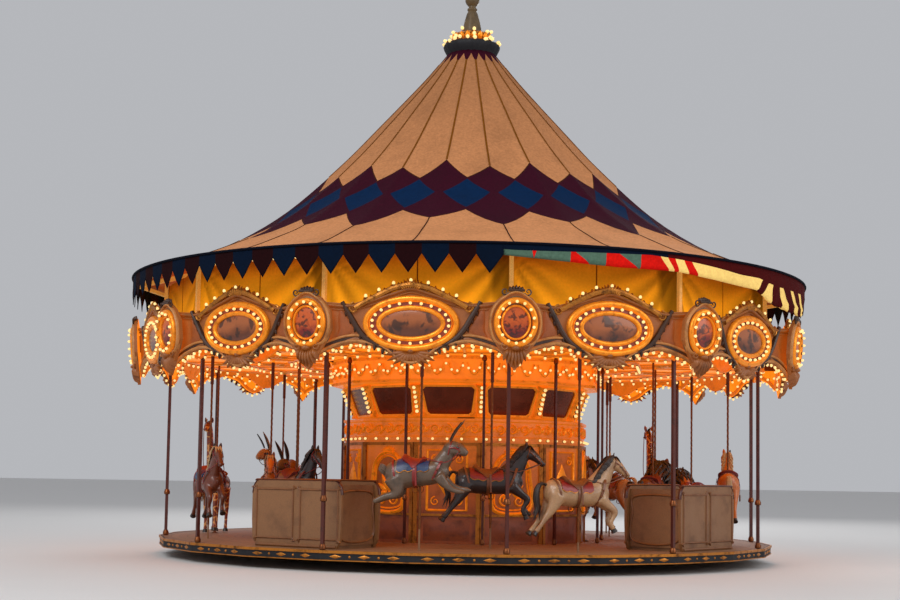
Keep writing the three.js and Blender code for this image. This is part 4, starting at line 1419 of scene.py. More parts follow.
def build_small_medallions():
    base, front, middle = SHIELD_PROUD, SHIELD_PROUD + 0.03, 3.71
    surround = [(0, 4.20), (0.24, 4.08), (0.385, 3.88), (0.40, 3.60), (0.25, 3.36), (0.0, 3.08)]
    outline = smooth_line([(-x, z) for x, z in surround[::-1] if x > 0] + surround[:-1], 40, ring=True)
    outline = offset_ring(outline, -0.012)
    on_shields(
        "small_medallion_shields", [dished(outline, (0, 3.70), front, base - 0.05, power=0.35)],
        "olive_shell"
    )
    edge = moulding(
        offset_ring(outline, -0.03), round_profile(0.045, base + 0.045, base - 0.02), ring=True
    )
    on_shields("small_medallion_edges", [edge], "pale_moulding")
    on_shields("small_medallion_frames", [
        oval(0.285, 0.325, middle, round_profile(0.085, front + 0.05, front), 40),
        oval(0.205, 0.243, middle, round_profile(0.035, front + 0.035, front), 40),
    ], "gilding")
    picture = dished(ellipse(0.195, 0.232, 32, (0, middle)), (0, middle), front + 0.015, front, rings=4)
    on_shields("small_pictures", [picture], "small_picture", slot=None)
    lit = [(0.262 * math.sin(a), middle + 0.302 * math.cos(a), front + 0.042) for a in around_circle(14)]
    lamps("small_medallion", spots_on(CORNERS, SHIELD_DISTANCE, lit, (0, -1, 0)), 0.024)
    crown = []
    for k in range(-2, 3):
        tip = (0.05 * k, 4.265 - 0.012 * abs(k))
        crown.append(petal((0.035 * k, 4.17), tip, 0.06, base + 0.04, base - 0.03, count=8))
    ridge = [(x, -base - 0.02, 4.18) for x in np.linspace(-0.12, 0.12, 9)]
    crown.append(bar(ridge, 0.028, 0.022, sides=6))
    crown += mirror(scroll((0.17, 4.16), 0.05, 1.2, 0.016, 0.04, base, 1, begin=200))
    on_shields("small_medallion_crowns", crown, "umber_carving")
    tassel = []
    for k in range(-3, 4):
        tip = (0.055 * k, 3.02 + 0.022 * abs(k) ** 1.6)
        tassel.append(petal((0.035 * k, 3.34), tip, 0.085, base + 0.09, base - 0.04, count=9))
    tassel += mirror(scroll((0.15, 3.36), 0.06, 1.2, 0.02, 0.05, base, -1, begin=120))
    tassel.append(dished(ellipse(0.07, 0.05, 14, (0, 3.34)), (0, 3.34), base + 0.12, base, rings=3))
    on_shields("small_medallion_tassels", tassel, "taupe_carving")


def offset_ring(line, distance):
    """Moves a closed (x, z) line outwards, or inwards by a negative distance."""
    p = np.asarray(line, float)
    middle = p.mean(0)
    away = p - middle
    size = np.linalg.norm(away, axis=1, keepdims=True)
    return middle + away * (size + distance) / size


def build_arch_lamps():
    edge = smooth_line(both_ways(ARCH_EDGE), 300)
    run = np.concatenate([[0], np.cumsum(np.linalg.norm(np.diff(edge, axis=0), axis=1))])
    at = np.linspace(0.10, run[-1] - 0.10, 23)
    under = [(np.interp(s, run, edge[:, 0]), np.interp(s, run, edge[:, 1]) - 0.004, -0.02) for s in at]
    board_lamps("arch_edge", under, (0, -0.15, -1))
    board_lamps("arch_inside", [(x, z + 0.10, -0.058) for x, z, _ in under[1:-1:2]], (0, 1, -0.2), 0.023)
    inner_line = offset_line(smooth_line(both_ways(ARCH_EDGE), 40), 0.05)
    strip = moulding(inner_line, [(-0.03, -0.045), (-0.03, -0.075), (0.03, -0.075), (0.03, -0.045)])
    on_boards("arch_inner_rails", [strip], "deep_amber", slot="amber_panels")


# Ceiling, centre, platform, poles
EAVE = 5.31
CEILING_FACE = 3.499
CASING_RADIUS, BAND_RADIUS, BEAD_RADIUS = 2.22, 2.21, 2.252
NICHE_HALF, NICHE_FOOT, NICHE_SPRING, NICHE_RISE = 0.33, 0.90, 1.50, 0.36
PANEL_MIDDLE = 1.39
CORNICE_HEIGHTS = (2.52, 3.03)
CORNICE_RADII = (2.01, 2.19)
SWAG_RADIUS = 2.46
EDGE_SIDES = 24
EDGE_FACE, EDGE_TRIM = 5.5027, 5.514
DECK_FRONT = 0.235


def boxed(x0, x1, front, back, z0, z1):
    """A block on a face that looks outwards: front and back are distances from the axis."""
    return block((x0, x1), (-front, -back), (z0, z1))


def build_ceiling():
    repaint("ceiling_paint", "ceiling")
    inner, outer = 2.66, 5.30
    slope = math.tan(HALF_BAY)
    shapes = []
    for share in (-0.5, 0.0, 0.5):
        lean = slope * share
        line = [(inner * lean, -inner, 3.492), (outer * lean, -outer, 3.492)]
        shapes.append(bar(line, 0.035, 0.022, sides=6, across=(1, 0, 0)))
    spots = []
    for distance, count in ((3.15, 6), (4.15, 8), (5.12, 10)):
        half = distance * slope
        for t in (np.arange(count) + 0.5) / count:
            spots.append((half * (2 * t - 1), -distance, 3.462))
        half += 0.006
        shapes.append(bar([(-half, -distance, 3.488), (half, -distance, 3.488)], 0.045, 0.026, sides=6))
    around("ceiling_battens", gather(shapes), "deep_amber", first=BAY / 2, slot="amber_panels")
    rosette = []
    for distance in (3.65, 4.62):
        middle = np.array([0.0, -distance])
        for a in around_circle(12):
            tip = middle + 0.26 * np.array([math.sin(a), math.cos(a)])
            points, faces = petal(middle, tip, 0.11, 0.03, 0.0, count=7)
            flat = np.stack([points[:, 0], points[:, 2], CEILING_FACE + points[:, 1]], 1)
            rosette.append((flat, [f[::-1] for f in faces]))
    around("ceiling_rosettes", gather(rosette), "gilding", first=BAY / 2, slot="amber_panels")
    lamps("ceiling", [(p, (0, 0, -1)) for angle in MIDDLES for p in turn(np.array(spots), angle)], 0.024)


def build_outer_skirt():
    """Amber inner boards behind the arches, lit along their scallops, that join ceiling and boards."""
    half = [(0, 3.20), (0.2, 3.24), (0.44, 3.36), (0.8, 3.42), (1.1, 3.40), (1.36, 3.30)]
    edge = smooth_line(both_ways(half), 40)
    plate = slab([*edge, (1.36, 3.525), (-1.36, 3.525)], 0.0, -0.02)
    rail = moulding(offset_line(edge, 0.02), round_profile(0.035, 0.02))
    around(
        "ceiling_skirt", placed(gather([plate, rail]), EAVE, 0), "deep_amber", first=BAY / 2,
        slot="amber_panels"
    )
    places = [(x, z - 0.01, 0.0) for x, z in edge[2:-2:3]]
    lamps("ceiling_skirt", spots_on(MIDDLES, EAVE, places, (0, -0.3, -1), lean=False), 0.022)


def face_of(corner_radius):
    """Apothem and half width of a face of a twelve-sided drum."""
    return corner_radius * math.cos(HALF_BAY), corner_radius * math.sin(HALF_BAY)


def build_casing():
    repaint("amber_paint", "centre_casing")
    apothem, half = face_of(CASING_RADIUS)

    def on_casing(name, shapes, finish, slot="amber_panels", distance=apothem, **places):
        places = places or {"first": BAY / 2}
        around(name, placed(gather(shapes), distance, 0), finish, body="base", slot=slot, **places)

    trims = [
        boxed(-half, half, proud, -0.01, z, z + height)
        for z, height, proud in ((0.19, 0.10, 0.035), (0.78, 0.04, 0.025), (1.98, 0.05, 0.03))
    ]
    trims += [
        boxed(x - 0.035, x + 0.035, 0.028, -0.01, 0.29, 1.98) for x in (-half + 0.035, half - 0.035)
    ]
    on_casing("casing_pilasters", trims, "old_gilding")
    panel = [(-0.40, 0.36), (0.40, 0.36), (0.40, 0.72), (-0.40, 0.72)]
    on_casing("casing_dado_panels", [dished(panel, (0, 0.54), 0.02, 0.0, rings=2)], "deep_amber")
    niche = [(-NICHE_HALF, NICHE_FOOT), (NICHE_HALF, NICHE_FOOT), (NICHE_HALF, NICHE_SPRING)]
    for a in np.linspace(0.15, math.pi - 0.15, 14):
        niche.append((NICHE_HALF * math.cos(a), NICHE_SPRING + NICHE_RISE * math.sin(a)))
    frame_line = smooth_line([*niche, (-NICHE_HALF, NICHE_SPRING)], 44, ring=True)
    arches = [
        moulding(frame_line, round_profile(0.07, 0.055), ring=True),
        moulding(offset_ring(frame_line, -0.07), round_profile(0.03, 0.03), ring=True),
    ]
    for k in range(-3, 4):
        a = math.radians(k * 22)
        top = NICHE_SPRING + NICHE_RISE
        tip = (0.17 * math.sin(a), top + 0.11 * math.cos(a))
        arches.append(petal((0, top), tip, 0.05, 0.05, 0.0, count=7))
    for k in range(7):
        a = math.radians(60 * (k - 3) / 1.6)
        arches.append(petal((0, 1.18), (0.24 * math.sin(a), 1.24 + 0.34 * math.cos(a)), 0.11, 0.045, 0.0))
    arches += [scroll((-0.13 * hand, 1.05), 0.10, 1.5, 0.02, 0.04, 0.0, hand) for hand in (1, -1)]
    niches, flats = {"count": 6, "step": 60, "first": 15}, {"count": 6, "step": 60, "first": 45}
    on_casing("casing_niche_frames", arches, "gilding", **niches)
    back = dished(offset_ring(frame_line, -0.05), (0, 1.35), 0.012, 0.003, rings=3)
    on_casing("casing_niche_panels", [back], "brown_panel", slot=None, **niches)
    tall = [(-0.34, 0.88), (0.34, 0.88), (0.34, 1.90), (-0.34, 1.90)]
    diamond = [(0, 1.72), (0.22, PANEL_MIDDLE), (0, 1.06), (-0.22, PANEL_MIDDLE)]
    frame_parts = [
        moulding(tall + tall[:1], round_profile(0.05, 0.04)),
        dished(diamond, (0, PANEL_MIDDLE), 0.05, 0.0, rings=3)
    ]
    for hand in (1, -1):
        frame_parts += [scroll((-0.2 * hand, z), 0.07, 1.3, 0.016, 0.03, 0.0, hand) for z in (1.03, 1.74)]
    on_casing("casing_panel_frames", frame_parts, "gilding", **flats)
    inset = [(x * 0.94, PANEL_MIDDLE + (z - PANEL_MIDDLE) * 0.97) for x, z in tall]
    well = dished(inset, (0, PANEL_MIDDLE), 0.01, 0.002, rings=2)
    on_casing("casing_panel_wells", [well], "deep_amber", **flats)
    scrolls = []
    for k, x in enumerate(np.linspace(-0.46, 0.46, 5)):
        hand, begin = (1, 270) if k % 2 else (-1, 90)
        scrolls.append(scroll((x, 2.26), 0.075, 1.5, 0.02, 0.04, 0.0, hand, begin=begin))
        scrolls.append(petal((x + 0.07, 2.2), (x + 0.16, 2.33), 0.06, 0.03, 0.0, count=7))
    on_casing(
        "casing_scroll_band", scrolls, "gilding", slot="gold_paint", distance=face_of(BAND_RADIUS)[0]
    )
    beads = [(x, 2.09, 0.0) for x in np.linspace(-0.5, 0.5, 5)]
    spots = spots_on(MIDDLES, face_of(BEAD_RADIUS)[0], beads, (0, -1, 0), lean=False)
    lamps("casing", spots, 0.024, body="base")


def on_cornice(line, proud):
    """Points of the flared mirror face for (x, z) pairs across it at the front."""
    x, z = np.transpose(line)
    return np.stack([x, -np.interp(z, CORNICE_HEIGHTS, CORNICE_RADII) * math.cos(HALF_BAY) - proud, z], 1)


def build_cornice():
    repaint("amber_paint", "inner_cornice")
    glass = both_ways([(0.33, 2.52), (0.38, 2.56), (0.45, 2.93), (0.40, 2.98)])
    glass = glass[2:] + glass[:2]
    mirrors = skin([on_cornice(glass, 0.002), on_cornice(glass, 0.012)], capped=True)
    around("cornice_mirrors", mirrors, "mirror", first=BAY / 2)
    outline = np.array(glass)
    wide = outline.mean(0) + (outline - outline.mean(0)) * (1.08, 1.14)
    rows = [
        on_cornice(wide, 0.0), on_cornice(wide, 0.035), on_cornice(outline, 0.035),
        on_cornice(outline, 0.0)
    ]
    around("cornice_mirror_frames", skin(rows, closed=True), "gilding", first=BAY / 2, slot="gold_paint")
    columns = []
    for z0, z1, r0, r1 in (
        (2.50, 3.03, 0.06, 0.07), (2.98, 3.03, 0.095, 0.105), (2.47, 2.52, 0.09, 0.08)
    ):
        d0, d1 = np.interp((z0, z1), CORNICE_HEIGHTS, CORNICE_RADII)
        ends = [(0, -d0 - 0.01, z0), (0, -d1 - 0.01, z1)]
        columns.append(bar(ends, [r0, r1], [r0, r1], sides=8, across=(1, 0, 0)))
    around("cornice_columns", gather(columns), "gilding", slot="gold_paint")
    apothem, half = face_of(SWAG_RADIUS)
    heights = ((3.06, 3.10), (3.44, 3.49))
    fascia = [boxed(-half, half, apothem + 0.03, apothem - 0.01, *pair) for pair in heights]
    for k in range(4):
        x0 = -half + (k + 0.1) * half / 2
        x1 = x0 + half / 2 * 0.8
        swag = [
            (x, -apothem - 0.02, 3.38 - 0.20 * math.sin(math.pi * (x - x0) / (x1 - x0)) ** 0.8)
            for x in np.linspace(x0, x1, 10)
        ]
        fascia.append(bar(swag, 0.022, 0.018, sides=6))
    around("cornice_swags", gather(fascia), "gilding", first=BAY / 2, slot="gold_paint")
    spots = [
        (x, 3.36 - 0.13 * abs(math.sin(math.pi * (x + half) / (half / 2))), 0.03)
        for x in np.linspace(-half + 0.06, half - 0.06, 13)
    ]
    lamps("cornice_swag", spots_on(MIDDLES, apothem, spots, (0, -1, 0), lean=False), 0.022)
    post = [(0, z, 0.075 + 0.18 * (z - 2.52) / 0.51) for z in np.linspace(2.56, 2.96, 6)]
    lamps("cornice_column", spots_on(CORNERS, CORNICE_RADII[0], post, (0, -1, 0), lean=False), 0.03)


def build_platform():
    repaint("deck_boards", "platform_deck")
    repaint("navy_paint", "platform_fascia")
    step = 360 / EDGE_SIDES
    side = EDGE_TRIM * math.sin(math.radians(step / 2))
    apothem = EDGE_FACE * math.cos(math.radians(step / 2))
    sides = {"count": EDGE_SIDES, "step": step, "first": step / 2, "slot": "navy_paint"}
    trim = [
        boxed(-side, side, apothem + proud, apothem - 0.005, z0, z1)
        for proud, z0, z1 in ((0.018, 0.283, 0.325), (0.012, 0.17, 0.185))
    ]
    around("platform_gilt_edge", gather(trim), "old_gilding", **sides)
    ornament = []
    for x in (-0.46, 0.0, 0.46):
        lozenge = [(x + dx, DECK_FRONT + dz) for dx, dz in ((0, 0.032), (0.1, 0), (0, -0.032), (-0.1, 0))]
        ornament.append(dished(lozenge, (x, DECK_FRONT), 0.012, 0.0, rings=2))
    for x in (-0.23, 0.23):
        middle = (x, DECK_FRONT)
        ornament.append(dished(ellipse(0.02, 0.02, 10, middle), middle, 0.014, 0.0, rings=2))
    around("platform_lozenges", placed(gather(ornament), apothem, 0), "old_gilding", **sides)
    studs = []
    for angle in np.arange(0, 360, 5):
        for r in (5.40, 2.36):
            a = math.radians(angle + 2.5)
            studs.append(((r * math.sin(a), -r * math.cos(a), 0.3205), (0, 0, 1)))
    on_spots("deck_studs", studs, "brass", 0.014, 0.35, 0.0)


def build_posts():
    """Brass collars on the hangers, bolted plates on the sweeps, and paint on the frames."""
    repaint("wine_steel", "sweep_frame")
    repaint("pale_gold", "canopy_frame")
    repaint("mast_steel", "centre_mast")
    repaint("dark_steel", "base_frame")
    collar = ((1.42, 0), (1.9, 0.01), (1.9, 0.05), (1.55, 0.07), (1.42, 0.09))
    for name, distance, half in (("outer", 5.40, 0.028), ("inner", 2.555, 0.022)):
        rings = [
            turned([(half * share, z + rise) for share, rise in collar], 12) for z in (0.325, 1.05, 3.40)
        ]
        around(f"hanger_collars_{name}", placed(gather(rings), distance, 0), "brass", slot="gold_paint")
    bolt, faces = turned([(0.014, 3.712), (0.014, 3.728)], 6)
    plates = []
    for distance in (1.2, 2.3, 3.6, 4.9):
        plates.append(boxed(-0.075, 0.075, distance + 0.08, distance - 0.08, 3.702, 3.712))
        for x in (-0.05, 0.05):
            plates += [placed((bolt + (x, 0, 0), faces), distance + d, 0) for d in (-0.05, 0.05)]
    around("sweep_joint_plates", gather(plates), "dark_steel", slot="frame_steel")


COLLAR = [
    (0.448, 9.302), (0.462, 9.33), (0.49, 9.37), (0.525, 9.44), (0.537, 9.48), (0.53, 9.51),
    (0.50, 9.535), (0.42, 9.55)
]
TIER = [
    (0.45, 9.535), (0.40, 9.56), (0.34, 9.59), (0.318, 9.63), (0.325, 9.67), (0.345, 9.70), (0.34, 9.725),
    (0.30, 9.745), (0.24, 9.755), (0.20, 9.76)
]
SPIRE = [
    (0.20, 9.755), (0.185, 9.78), (0.178, 9.84), (0.165, 9.91), (0.150, 9.98), (0.128, 10.06),
    (0.108, 10.13), (0.088, 10.17), (0.078, 10.19), (0.094, 10.21), (0.094, 10.235), (0.070, 10.25),
    (0.068, 10.285), (0.088, 10.30), (0.118, 10.34), (0.135, 10.38), (0.135, 10.43), (0.108, 10.48),
    (0.06, 10.51), (0.052, 10.53), (0.034, 10.56), (0.020, 10.62), (0.011, 10.69), (0.002, 10.72)
]


def build_finial():
    """Dark collar over the roof's peak, gilt tier ringed with lamps, and the spire."""
    for name, profile, finish, node_name, lobes in (
        ("finial_collar", COLLAR, "navy_paint", "finial_crown", 24),
        ("finial_tier", TIER, "old_gilding", "finial_crown", 16),
        ("finial_spire_turned", SPIRE, "spire_paint", "finial_spire", 8)
    ):
        obj = piece(name, turned(profile, 72, lobes=lobes, depth=0.04), finish)
        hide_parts(node_name)
    leaves = []
    for k in range(18):
        points, faces = petal((0, 0), (0, 0.15), 0.11, 0.035, 0.0, count=9)
        points[:, 1] -= points[:, 2] * 0.25
        leaves.append(placed((points + (0, 0, 9.585), faces), 0.325, k * 20))
    piece("finial_leaves", gather(leaves), "gilding")
    spots = []
    for z, r, count in ((9.535, 0.485, 18), (9.565, 0.40, 12), (9.65, 0.345, 7), (9.74, 0.33, 9)):
        for k in range(count):
            a = 2 * math.pi * (k + 0.25 * math.sin(k * 2.7)) / count
            height = z + 0.022 * math.sin(k * 4.1)
            spots.append(((r * math.sin(a), -r * math.cos(a), height), (math.sin(a), -math.cos(a), 0.5)))
    lamps("crown", spots, radius=0.034)


# Animals: each form is drawn once facing +X with its pole at the origin, then set on its pole
MM = 0.001
FORMS = {
    "HORSE": {
        "trunk": [
            (-575, 50, 60, 80), (-530, 45, 130, 150), (-440, 35, 172, 192), (-300, 12, 186, 196),
            (-120, -8, 182, 194), (80, -12, 174, 188), (230, 8, 172, 204), (350, 38, 158, 212),
            (440, 72, 108, 162), (485, 92, 50, 80)
        ],
        "neck": [
            (250, 60, 120, 190), (350, 180, 110, 176), (430, 300, 90, 148), (500, 410, 76, 116),
            (560, 485, 66, 88), (590, 510, 40, 60)
        ],
        "head": [
            (515, 490, 58, 72), (590, 478, 76, 96), (670, 436, 72, 90), (745, 380, 56, 68),
            (805, 322, 46, 54), (845, 286, 46, 50), (868, 264, 30, 32)
        ],
        "fore": [
            (330, -60, 85, 105), (450, -165, 62, 75), (575, -268, 50, 56), (545, -360, 36, 40),
            (505, -440, 35, 39), (535, -505, 41, 44), (552, -540, 44, 40)
        ],
        "hind": [
            (-400, -20, 100, 150), (-455, -150, 84, 106), (-535, -285, 58, 68), (-590, -355, 45, 54),
            (-650, -440, 33, 38), (-695, -500, 33, 37), (-730, -545, 40, 42), (-768, -588, 42, 40)
        ],
        "lumps": [
            (360, 75, -30, 90, 100), (-420, 95, 40, 95, 130), (645, 40, 440, 46, 62),
            (720, 52, 430, 22, 18)
        ],
        "ears": (560, 545, 115, 30, 45), "eye": (706, 68, 424, 15), "nostril": (850, 34, 290),
        "spread": 105, "crest": [(585, 585), (520, 560), (450, 480), (380, 385), (315, 285), (262, 215)],
        "tail": [(-545, 130), (-640, 150), (-705, 60), (-715, -90), (-690, -230), (-720, -360)],
        "saddle": (-290, 120)
    },
    "GIRAFFE": {
        "trunk": [
            (-480, 0, 50, 60), (-440, 0, 110, 130), (-350, 10, 150, 172), (-150, 40, 168, 188),
            (80, 90, 163, 200), (250, 140, 142, 206), (360, 180, 92, 150), (410, 195, 50, 80)
        ],
        "neck": [
            (250, 170, 112, 180), (320, 330, 88, 130), (375, 520, 74, 104), (420, 760, 65, 90),
            (462, 980, 60, 80), (515, 1085, 56, 66), (550, 1110, 34, 44)
        ],
        "head": [
            (500, 1100, 48, 56), (565, 1092, 60, 68), (630, 1050, 50, 54), (680, 1014, 40, 42),
            (708, 998, 28, 30)
        ],
        "fore": [
            (270, 20, 80, 112), (285, -190, 56, 66), (292, -390, 46, 54), (284, -560, 34, 38),
            (284, -740, 32, 36), (285, -830, 44, 44)
        ],
        "hind": [
            (-330, -60, 90, 132), (-372, -250, 62, 80), (-400, -420, 46, 54), (-382, -600, 34, 38),
            (-364, -760, 32, 36), (-360, -830, 44, 44)
        ],
        "lumps": [(300, 70, 20, 80, 100), (575, 30, 1075, 36, 40)], "ears": (515, 1150, 100, 24, 58),
        "eye": (590, 52, 1094, 13), "nostril": (694, 22, 1016), "spread": 95,
        "crest": [(530, 1170), (470, 1080), (425, 930), (375, 760), (330, 600), (265, 400)],
        "tail": [(-465, 40), (-530, 10), (-550, -110), (-550, -250), (-556, -350)], "saddle": (-250, 130)
    },
    "HARE": {
        "trunk": [
            (-530, -70, 70, 90), (-470, -50, 150, 180), (-380, -20, 192, 222), (-200, 15, 198, 228),
            (-20, 15, 178, 200), (150, 25, 158, 184), (290, 60, 138, 172), (380, 95, 90, 120),
            (420, 115, 50, 70)
        ],
        "neck": [(250, 80, 108, 150), (340, 200, 104, 134), (400, 300, 96, 118), (440, 360, 70, 90)],
        "head": [
            (400, 330, 70, 90), (450, 385, 104, 118), (530, 400, 108, 118), (610, 378, 86, 96),
            (680, 345, 62, 66), (728, 322, 40, 44)
        ],
        "fore": [
            (300, -20, 80, 96), (385, -120, 62, 74), (470, -195, 48, 54), (560, -235, 42, 44),
            (660, -250, 46, 38)
        ],
        "hind": [
            (-380, -60, 112, 172), (-330, -240, 84, 104), (-370, -310, 66, 72), (-500, -340, 52, 56),
            (-600, -380, 46, 48), (-700, -425, 46, 40)
        ],
        "lumps": [(-380, 100, -20, 108, 150), (600, 46, 350, 56, 58), (330, 72, 0, 76, 96)],
        "ears": (440, 480, 370, 44, 55), "eye": (590, 96, 418, 19), "nostril": (722, 18, 338),
        "spread": 120, "crest": [], "tail": [(-505, 20), (-560, 60), (-600, 90), (-630, 110)],
        "saddle": (-270, 90)
    },
    "LION": {
        "trunk": [
            (-550, 20, 50, 60), (-510, 22, 110, 140), (-430, 18, 146, 172), (-200, 0, 152, 168),
            (60, 0, 160, 176), (240, 25, 168, 206), (380, 70, 142, 184), (440, 95, 80, 110)
        ],
        "neck": [(250, 90, 160, 200), (340, 180, 176, 206), (430, 270, 170, 190), (500, 320, 120, 140)],
        "head": [
            (430, 310, 90, 100), (510, 345, 126, 138), (590, 345, 124, 132), (660, 318, 96, 100),
            (720, 298, 72, 74), (758, 290, 50, 54)
        ],
        "fore": [
            (320, -40, 85, 112), (400, -145, 70, 84), (460, -235, 58, 66), (530, -300, 50, 54),
            (585, -345, 50, 48), (650, -362, 62, 42)
        ],
        "hind": [
            (-400, -30, 100, 142), (-430, -190, 78, 98), (-460, -270, 62, 76), (-560, -345, 48, 52),
            (-620, -380, 48, 48), (-692, -418, 60, 42)
        ],
        "lumps": [
            (-400, 90, 10, 92, 124), (345, 88, -10, 84, 104), (720, 34, 318, 44, 40),
            (620, 62, 300, 50, 44)
        ],
        "ears": (500, 440, 110, 46, 100), "eye": (672, 66, 358, 17), "nostril": (766, 20, 312),
        "spread": 115, "crest": [(600, 470), (520, 500), (440, 480), (370, 420), (310, 330), (260, 250)],
        "tail": [(-540, 60), (-610, 100), (-680, 128), (-740, 120), (-800, 60)], "saddle": (-280, 110)
    }
}
OUTER_ROW, INNER_ROW = 4.75, 3.56
# Name, row, angle, form, coat, height of the origin over the deck, rise in the photographed state, harness
MENAGERIE = [
    ("outer_hare", OUTER_ROW, -15, "HARE", "slate", 1.05, 110, 0),
    ("outer_horse_front", OUTER_ROW, 15, "HORSE", "ivory", 0.96, -60, 1),
    ("outer_horse_right", OUTER_ROW, 75, "HORSE", "tawny", 0.96, 90, 2),
    ("outer_lion", OUTER_ROW, 105, "LION", "tawny", 0.96, -110, 0),
    ("outer_horse_back_right", OUTER_ROW, 135, "HORSE", "bay", 0.96, 40, 1),
    ("outer_horse_back", OUTER_ROW, 165, "HORSE", "ivory", 0.96, 120, 2),
    ("outer_horse_back_left", OUTER_ROW, 195, "HORSE", "black", 0.96, -90, 0),
    ("outer_hare_back", OUTER_ROW, 225, "HARE", "ivory", 1.05, 60, 1),
    ("outer_giraffe", OUTER_ROW, 255, "GIRAFFE", "giraffe", 0.90, None, 2),
    ("outer_horse_left", OUTER_ROW, 285, "HORSE", "bay", 0.96, 20, 0),
    ("inner_horse_front", INNER_ROW, 0, "HORSE", "black", 0.96, 100, 1),
    ("inner_lion", INNER_ROW, 60, "LION", "bay", 0.96, None, 2),
    ("inner_giraffe_right", INNER_ROW, 90, "GIRAFFE", "giraffe", 0.90, None, 0),
    ("inner_horse_right", INNER_ROW, 120, "HORSE", "ivory", 0.96, -40, 1),
    ("inner_horse_back", INNER_ROW, 180, "HORSE", "tawny", 0.96, 80, 2),
    ("inner_hare", INNER_ROW, 240, "HARE", "slate", 0.90, None, 0),
    ("inner_horse_left", INNER_ROW, 270, "HORSE", "tawny", 0.96, -100, 1),
    ("inner_horse_front_left", INNER_ROW, 300, "HORSE", "black", 0.96, None, 2),
]
HARNESS = [("red_leather", "blue_cloth"), ("tan_leather", "red_leather"), ("seat_leather", "tan_leather")]


SHELL_STEPS = 17
STRAP_UNDER, STRAP_OVER = -0.006, 0.004
BLANKET_PROUD, HEM_PROUD = 0.014, 0.010


def limb(stations, side_at=0.0, sides=12):
    """A rounded limb through stations (forward, up, half width, half height) in millimetres."""
    table = smooth_line(stations, (len(stations) - 1) * 4 + 1) * MM
    path = np.stack([table[:, 0], np.full(len(table), side_at), table[:, 1]], 1)
    return bar(path, table[:, 2], table[:, 3], sides=sides)


def ball(x, y, z, radius, height, sides=12):
    rows = [
        (radius * math.sin(a), z - height * math.cos(a)) for a in np.linspace(0.12, math.pi - 0.12, 9)
    ]
    points, faces = turned(rows, sides)
    return points + (x, y, 0), faces


def blended(shapes):
    """Blends overlapping closed shapes into one smooth skin."""
    settings = bpy.context.scene.carousel_animals
    obj = piece("blend_trial", gather(shapes), "ivory_coat", None)
    remesh = obj.modifiers.new("blend", "REMESH")
    remesh.mode, remesh.voxel_size = "VOXEL", settings.fineness
    smooth = obj.modifiers.new("smooth", "SMOOTH")
    smooth.factor, smooth.iterations = 0.5, settings.smoothing
    made = shape_of(obj)
    discard(obj)
    return made


def section(table, x):
    """Middle height, half width and half height of a trunk or head at a place along it."""
    t = smooth_line(table, 60) * MM
    return [np.interp(x, t[:, 0], t[:, c]) for c in (1, 2, 3)]


def hugging(table, xs, spread, lift, thickness):
    """A shell over a trunk: spread gives the angle it reaches down each side at every place along it."""
    rows = []
    for x, degrees, up in zip(xs, spread, lift):
        z, w, h = section(table, x)
        a = np.linspace(-math.radians(degrees), math.radians(degrees), SHELL_STEPS)
        outer = [(x, math.sin(b) * (w + up), z + math.cos(b) * (h + up)) for b in a]
        inner = [
            (x, math.sin(b) * (w + up - thickness), z + math.cos(b) * (h + up - thickness))
            for b in a[::-1]
        ]
        rows.append(outer + inner)
    return skin(rows, capped=True)


def hoop(table, x, lean, width, proud, count=28):
    """A strap round a trunk or neck, square to it or leaning."""
    z, w, h = section(table, x)
    rows = []
    for b in around_circle(count):
        out = np.array([0, math.sin(b), math.cos(b)])
        p = np.array([x + lean * out[2], out[1] * (w + proud), z + out[2] * (h + proud)])
        corners = (
            (-width, STRAP_UNDER), (-width, STRAP_OVER), (width, STRAP_OVER), (width, STRAP_UNDER)
        )
        rows.append([p + (dx, 0, 0) + out * do for dx, do in corners])
    return skin(rows, closed=True)


def wave(points, swing, count, phase):
    line = smooth_line(points, count)
    t = np.linspace(0, 1, count)
    line[:, 1] += swing * np.sin(t * 7 + phase) * t
    return line


def taper(count, stations, sizes):
    return np.interp(np.linspace(0, 1, count), stations, sizes)


